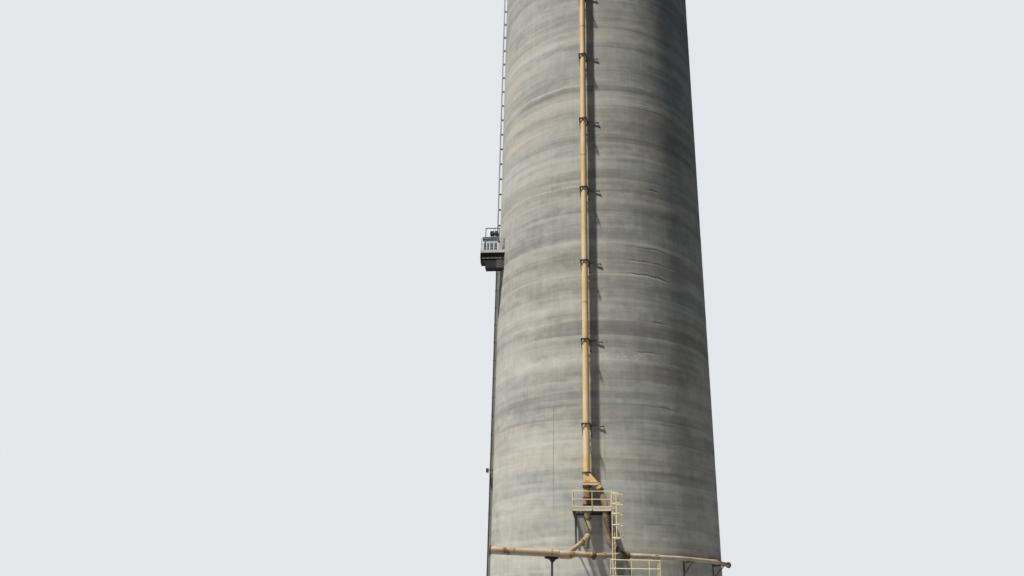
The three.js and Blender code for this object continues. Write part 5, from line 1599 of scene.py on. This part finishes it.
def cable_duct():
    """Closed duct against the wall: pressed cover sections, dark straps and their anchors."""
    foot, head = DUCT_FOOT, TRAY_FOOT
    wall, face = -(SILO_RADIUS - 6), -(SILO_RADIUS + DUCT_DEPTH)
    seam = face + DUCT_LID
    half = [(52, -4), (60, -10), (141, -10), (149, -2), (149, DUCT_DEPTH)]
    cover = [(u, min(face + v + 10, seam + 2)) for u, v in [(-u, v) for u, v in half[::-1]] + half]
    levels = [foot, *run_levels(foot, head), head]
    shape = Shape()
    for z0, z1 in zip(levels, levels[1:]):
        shape.loft([[vec(u, v, z) for u, v in cover] for z in (z0 + 2, z1 - 2)], 0.15, 1)
        shape.box(-147, 147, seam, wall, z0 + 2, z1 - 2, 3, 0.15)
    for z in levels[1:-1]:
        shape.box(-161, 161, face - 11, wall, z - 39, z + 39, 4, 0.2)
        shape.bolts(grid((-120, 0, 120), face - 11, z), FRONT, 12, 1, 0.8, 1)
        shape.box(148, 163, face + 20, face + 130, z - 37, z + 37, 3, 0.4, 1)
    shape.box(-150, 150, face + 1, wall, foot, foot + 14, 3, 0.3)
    shape.turn(RUN_BEARING)
    shape.piece("duct", "galvanised_steel", [DUCT, DARK], "cable_duct")


def floodlight():
    """A lamp housing with cooling ribs, hung from a bolted arm."""
    x, z = -160, FLOODLIGHT_LEVEL
    wall = -(SILO_RADIUS - 2)
    shape = Shape()
    shape.bar(vec(x, wall - 10, z), vec(x, wall - 375, z), 50, 50, UP, 4, 0.4)
    shape.box(x - 60, x + 60, wall - 14, wall, z - 80, z + 80, 3, 0.4)
    shape.bolts(grid(x, wall - 14, (z - 50, z + 50)), FRONT, 16, 8)
    x0, x1, y0, y1 = -258.0, 58.0, -(SILO_RADIUS + 556), -(SILO_RADIUS + 334)
    shape.housing(x0, x1, y0, y1, [(z - 186, 10), (z - 176, 0), (z + 60, 0), (z + 128, 46)])
    for x in x0 + 40 + 38 * np.arange(7):
        shape.box(x - 4, x + 4, y0 + 20, y1 - 6, z + 60, z + 118, 1, 0.2)
    shape.box(x0 + 22, x1 - 22, y0 + 22, y1 - 22, z - 189, z - 182, 2, 0, 1)
    shape.turn(FLOODLIGHT_BEARING)
    shape.piece("floodlight", "dark_steel", [DARK, GLASS], "wall_floodlight")


# Building the landing


def landing_deck():
    """Two plate girders with stiffeners, an end channel, kick bands along the sides and grating."""
    floor = LANDING_FLOOR
    under, middle = floor - LANDING_GIRDER, floor - LANDING_GIRDER / 2
    shape = Shape()
    for edge, sign in ((LANDING_FRONT, 1), (LANDING_BACK, -1)):
        y = edge + sign * 120
        right, outer, end = wall_at(y) - 6, y - sign * 59, wall_at(edge) - 6
        girder = i_beam(LANDING_GIRDER, 118, 14, 24)
        shape.profile(vec(LANDING_LEFT + 4, y, middle), vec(right, y, middle), girder, UP, 0.2)
        for x in np.arange(LANDING_LEFT + 150, right - 60, STIFFENER_STEP):
            shape.box(x - 7, x + 7, y - 54, y + 54, under + 24, floor - 24, 2, 0.3)
        # A lighter angle runs along the girder's lower edge, broken at the stiffeners.
        low, high = sorted((outer, outer + sign * 8))
        for x in np.arange(LANDING_LEFT + 170, right - 200, STIFFENER_STEP):
            shape.box(x, x + 250, low, high, under + 4, under + 66, 2, 0.2, 1)
        shape.box(right - 14, right + 4, y - 58, y + 58, under, floor, 3, 0.4)
        low, high = sorted((edge, edge + sign * 70))
        shape.box(LANDING_LEFT, end, low, high, floor - LANDING_BAND, floor - 12, 4, 0.1, 2)
        low, high = sorted((edge, edge + sign * 30))
        shape.box(LANDING_LEFT, end, low, high, floor - 12, floor, 3, 0.2, 2)
    x = LANDING_LEFT + 2
    shape.profile(vec(x, LANDING_BACK - 4, middle), vec(x, LANDING_FRONT + 4, middle),
                  channel(LANDING_GIRDER, 110, 12), UP, 0.2)
    # Grating: bearing bars across and cross rods along.
    for y in np.arange(LANDING_FRONT + 10, LANDING_BACK - 8, 40):
        shape.box(LANDING_LEFT + 6, wall_at(y) - 8, y - 3, y + 3, floor - 40, floor - 1, 0.5, 0.2, 1)
    for x in np.arange(LANDING_LEFT + 60, wall_at(LANDING_FRONT) - 30, ROD_PITCH):
        shape.box(x - 3, x + 3, LANDING_FRONT + 6, LANDING_BACK - 6, floor - 12, floor - 2, 0.5, 0.2, 1)
    for x in LANDING_JOISTS:
        shape.profile(vec(x, LANDING_FRONT + 190, floor - 110), vec(x, LANDING_BACK - 190, floor - 110),
                      i_beam(130, 80, 8, 10), UP, 0.3)
    shape.piece("landing", "dark_steel", [DARK, GALVANISED, PALE], "landing_deck")


def landing_rails():
    """Guardrails with wide flat uprights; a ribbed panel stands behind each one's rails."""
    front, back = LANDING_FRONT + 50, LANDING_BACK - 50
    for side, y, posts, right, foot, head, margin, ribs, half, slot in (
            ("front", front, LANDING_POSTS, -8200.0, 760, 1180, 40, 9, 22, 2),
            ("back", back, [*LANDING_POSTS[:4], -8400.0], -8450.0, 130, 1010, 60, 7, 20, 1)):
        left, foot, head = -9560.0, LANDING_FLOOR + foot, LANDING_FLOOR + head
        shape = Shape()
        guardrail(shape, [(x, y) for x in posts], LANDING_FLOOR)
        for x in posts[1:-1] if side == "front" else ():
            shape.box(x - 38, x + 38, y - 30, y - 22, LANDING_FLOOR + 1, LANDING_FLOOR + 700, 3, 0, 3)
        shape.box(left, right, y + 8, y + 38, foot, head, 5, 0.2, slot)
        for x in left + margin + (right - left - 2 * margin) * np.arange(ribs) / (ribs - 1):
            shape.box(x - half, x + half, y + 1, y + 12, foot + 30, head - 30, 5, 0.2, slot)
        for z in (foot, head - 30):
            shape.box(left, right, y, y + 39, z, z + 30, 4, 0.3, slot)
        paints = [GALVANISED, PALE, PANEL, WHITE] if side == "front" else [GALVANISED, PANEL]
        shape.piece(f"landing_{side}_rail", "galvanised_steel", paints, f"landing_rail_{side}")


def landing_bracket():
    """A stepped box with ribs on both sides, and a panel with slanting slats beside the wall."""
    top = LANDING_FLOOR - LANDING_GIRDER - 1
    y0, y1 = LANDING_FRONT + 102, LANDING_BACK - 102
    wall = wall_at(y0) - 3
    left, inner, panel = -9678.0, -9280.0, -8370.0
    step, foot = top - 328, top - 808
    outline = [(left, top), (left, step), (inner, step), (inner, foot), (wall, foot), (wall, top)]
    shape = Shape()
    shape.block(outline, y0, y1, (-9000.0, top - 300))
    for x in (-9600, -9420, -9200, -8900, -8600):
        low = (step if x < inner else foot) + 8
        for y in (y0 - 5, y1 + 5):
            shape.box(x - 6, x + 6, y - 8, y + 8, low, top - 4, 2, 0.3)
    shape.box(panel, wall, y0 - 10, y0 + 2, foot + 8, top - 6, 2, 0.2, 1)
    for k in range(4):
        low = foot + 28 + 190 * k
        slat = vec(panel + 30, y0 - 11, low), vec(wall - 30, y0 - 11, low + 170)
        shape.bar(*slat, 26, 6, BACK, 1, 0.3, 2)
    shape.piece("landing_seat", "dark_steel", [BLACK, DARK, DUCT], "landing_bracket")


def landing_light():
    """A frame of square tube with twin lamp housings hung from its top bar."""
    foot, head = LANDING_FLOOR + 1, LANDING_FLOOR + LAMP_FRAME_HEIGHT
    y, low = LANDING_FRONT + 200, LANDING_FLOOR + LAMP_RISE
    shape = Shape()
    for x in LAMP_FRAME:
        shape.box(x - 29, x + 29, y - 29, y + 29, foot, head, 4, 0.3)
        shape.box(x - 60, x + 60, y - 60, y + 60, foot, foot + 12, 3, 0.4)
    left, right = LAMP_FRAME
    shape.bar(vec(left - 29, y, head - 30), vec(right + 29, y, head - 30), 58, 58, UP, 4, 0.3)
    for x in (LAMP_MIDDLE - 50, LAMP_MIDDLE + 50):
        shape.bar(vec(x, y, low + 300), vec(x, y, head - 40), 22, 40, BACK, 3, 0.3)
    # Twin lamp housings with cooling ribs on top and the glass below.
    middle, y0, y1 = LAMP_MIDDLE, y - 240, y + 100
    stages = [(low + 10, 20), (low + 40, 0), (low + 260, 0), (low + 400, 60), (low + 418, 90)]
    for a, b in ((middle - 348, middle - 20), (middle + 20, middle + 348)):
        shape.housing(a, b, y0, y1, stages)
        shape.box(a + 24, b - 24, y0 + 24, y1 - 24, low + 4, low + 12, 2, 0, 1)
        for x in a + 40 + (b - a - 80) * np.arange(5) / 4:
            shape.box(x - 4, x + 4, y0 + 70, y1 - 70, low + 380, low + 416, 1, 0.2)
    shape.bar(vec(middle - 60, y, low + 240), vec(middle + 60, y, low + 240), 60, 60, UP, 4, 0.3)
    shape.piece("landing_lamp", "dark_steel", [BLACK, DARK_GLASS], "landing_light_frame")


# Build

build_wall()
roof()
roof_guardrail()
for number in range(RISER_LENGTHS):
    riser_length(number)
gooseneck()
for number in range(CLAMPS):
    riser_bracket(number)
lime_runs()
hairlines()
diverter()
left_valve()
left_branch()
header()
right_branch()
right_wye()
header_link()
wall_pipe()
for number in range(len(WALL_PIPE_BRACKETS)):
    wall_pipe_bracket(number)
header_post()
decks()
platform_rails()
for knee in KNEES:
    knee_bracket(*knee)
lower_legs()
ladder()
ladder_cage()
cable_tray()
cable_duct()
floodlight()
landing_deck()
landing_rails()
landing_bracket()
landing_light()

# The floor slab inside keeps its CAD shape.
floor_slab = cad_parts["floor_slab"]
floor_slab.data.materials.clear()
floor_slab.data.materials.append(ROOF)


# Stage, light and camera


def stage_floor():
    mesh = bpy.data.meshes.new("stage_floor")
    rim = [(*(polar(STAGE_RADIUS, 90 + a)[:2]), -STAGE_DROP) for a in range(0, 360, 3)]
    mesh.from_pydata(rim, [], [tuple(range(len(rim)))])
    mesh.materials.append(plain_floor("stage_floor"))
    obj = bpy.data.objects.new("stage_floor", mesh)
    bpy.context.scene.collection.objects.link(obj)


def lights():
    sun = bpy.data.lights.new("key_light", "SUN")
    sun.energy = KEY_ENERGY
    sun.angle = math.radians(KEY_ANGLE)
    sun.color = KEY_COLOUR
    lamp = bpy.data.objects.new("key_light", sun)
    bpy.context.scene.collection.objects.link(lamp)
    elevation = math.radians(KEY_ELEVATION)
    towards = polar(math.cos(elevation), KEY_BEARING, math.sin(elevation))
    across, deep, along, _ = axes(vec(0, 0, 0), towards, UP)
    lamp.matrix_world = Matrix([[across[i], deep[i], along[i], 0] for i in range(3)] + [[0, 0, 0, 1]])

    world = bpy.data.worlds.new("studio")
    world.use_nodes = True
    tree = world.node_tree
    tree.nodes.clear()
    glow = tree.nodes.new("ShaderNodeBackground")
    glow.inputs["Color"].default_value = GLOW_COLOUR
    glow.inputs["Strength"].default_value = GLOW_STRENGTH
    backdrop = tree.nodes.new("ShaderNodeBackground")
    backdrop.inputs["Color"].default_value = BACKDROP_COLOUR
    rays = tree.nodes.new("ShaderNodeLightPath")
    blend = tree.nodes.new("ShaderNodeMixShader")
    output = tree.nodes.new("ShaderNodeOutputWorld")
    tree.links.new(rays.outputs["Is Camera Ray"], blend.inputs[0])
    tree.links.new(glow.outputs[0], blend.inputs[1])
    tree.links.new(backdrop.outputs[0], blend.inputs[2])
    tree.links.new(blend.outputs[0], output.inputs["Surface"])
    bpy.context.scene.world = world
    bpy.context.scene.view_settings.view_transform = "Standard"


def camera():
    data = bpy.data.cameras.new("camera")
    data.sensor_width = 36.0
    data.lens = data.sensor_width * FOCAL_PIXELS / PHOTO_WIDTH
    data.clip_end = 500.0
    obj = bpy.data.objects.new("camera", data)
    bpy.context.scene.collection.objects.link(obj)
    pitch, roll, turn = (math.radians(a) for a in (PITCH, ROLL, TURN))
    ahead = vec(-math.sin(turn), math.cos(turn), 0)
    right = vec(math.cos(turn), math.sin(turn), 0)
    forward = math.cos(pitch) * ahead + math.sin(pitch) * UP
    above = -math.sin(pitch) * ahead + math.cos(pitch) * UP
    x_axis = math.cos(roll) * right + math.sin(roll) * above
    y_axis = -math.sin(roll) * right + math.cos(roll) * above
    place = (0.0, -CAMERA_DISTANCE, CAMERA_HEIGHT)
    rows = [[x_axis[i], y_axis[i], -forward[i], place[i]] for i in range(3)]
    obj.matrix_world = Matrix(rows + [[0, 0, 0, 1]])
    bpy.context.scene.camera = obj


stage_floor()
lights()
camera()
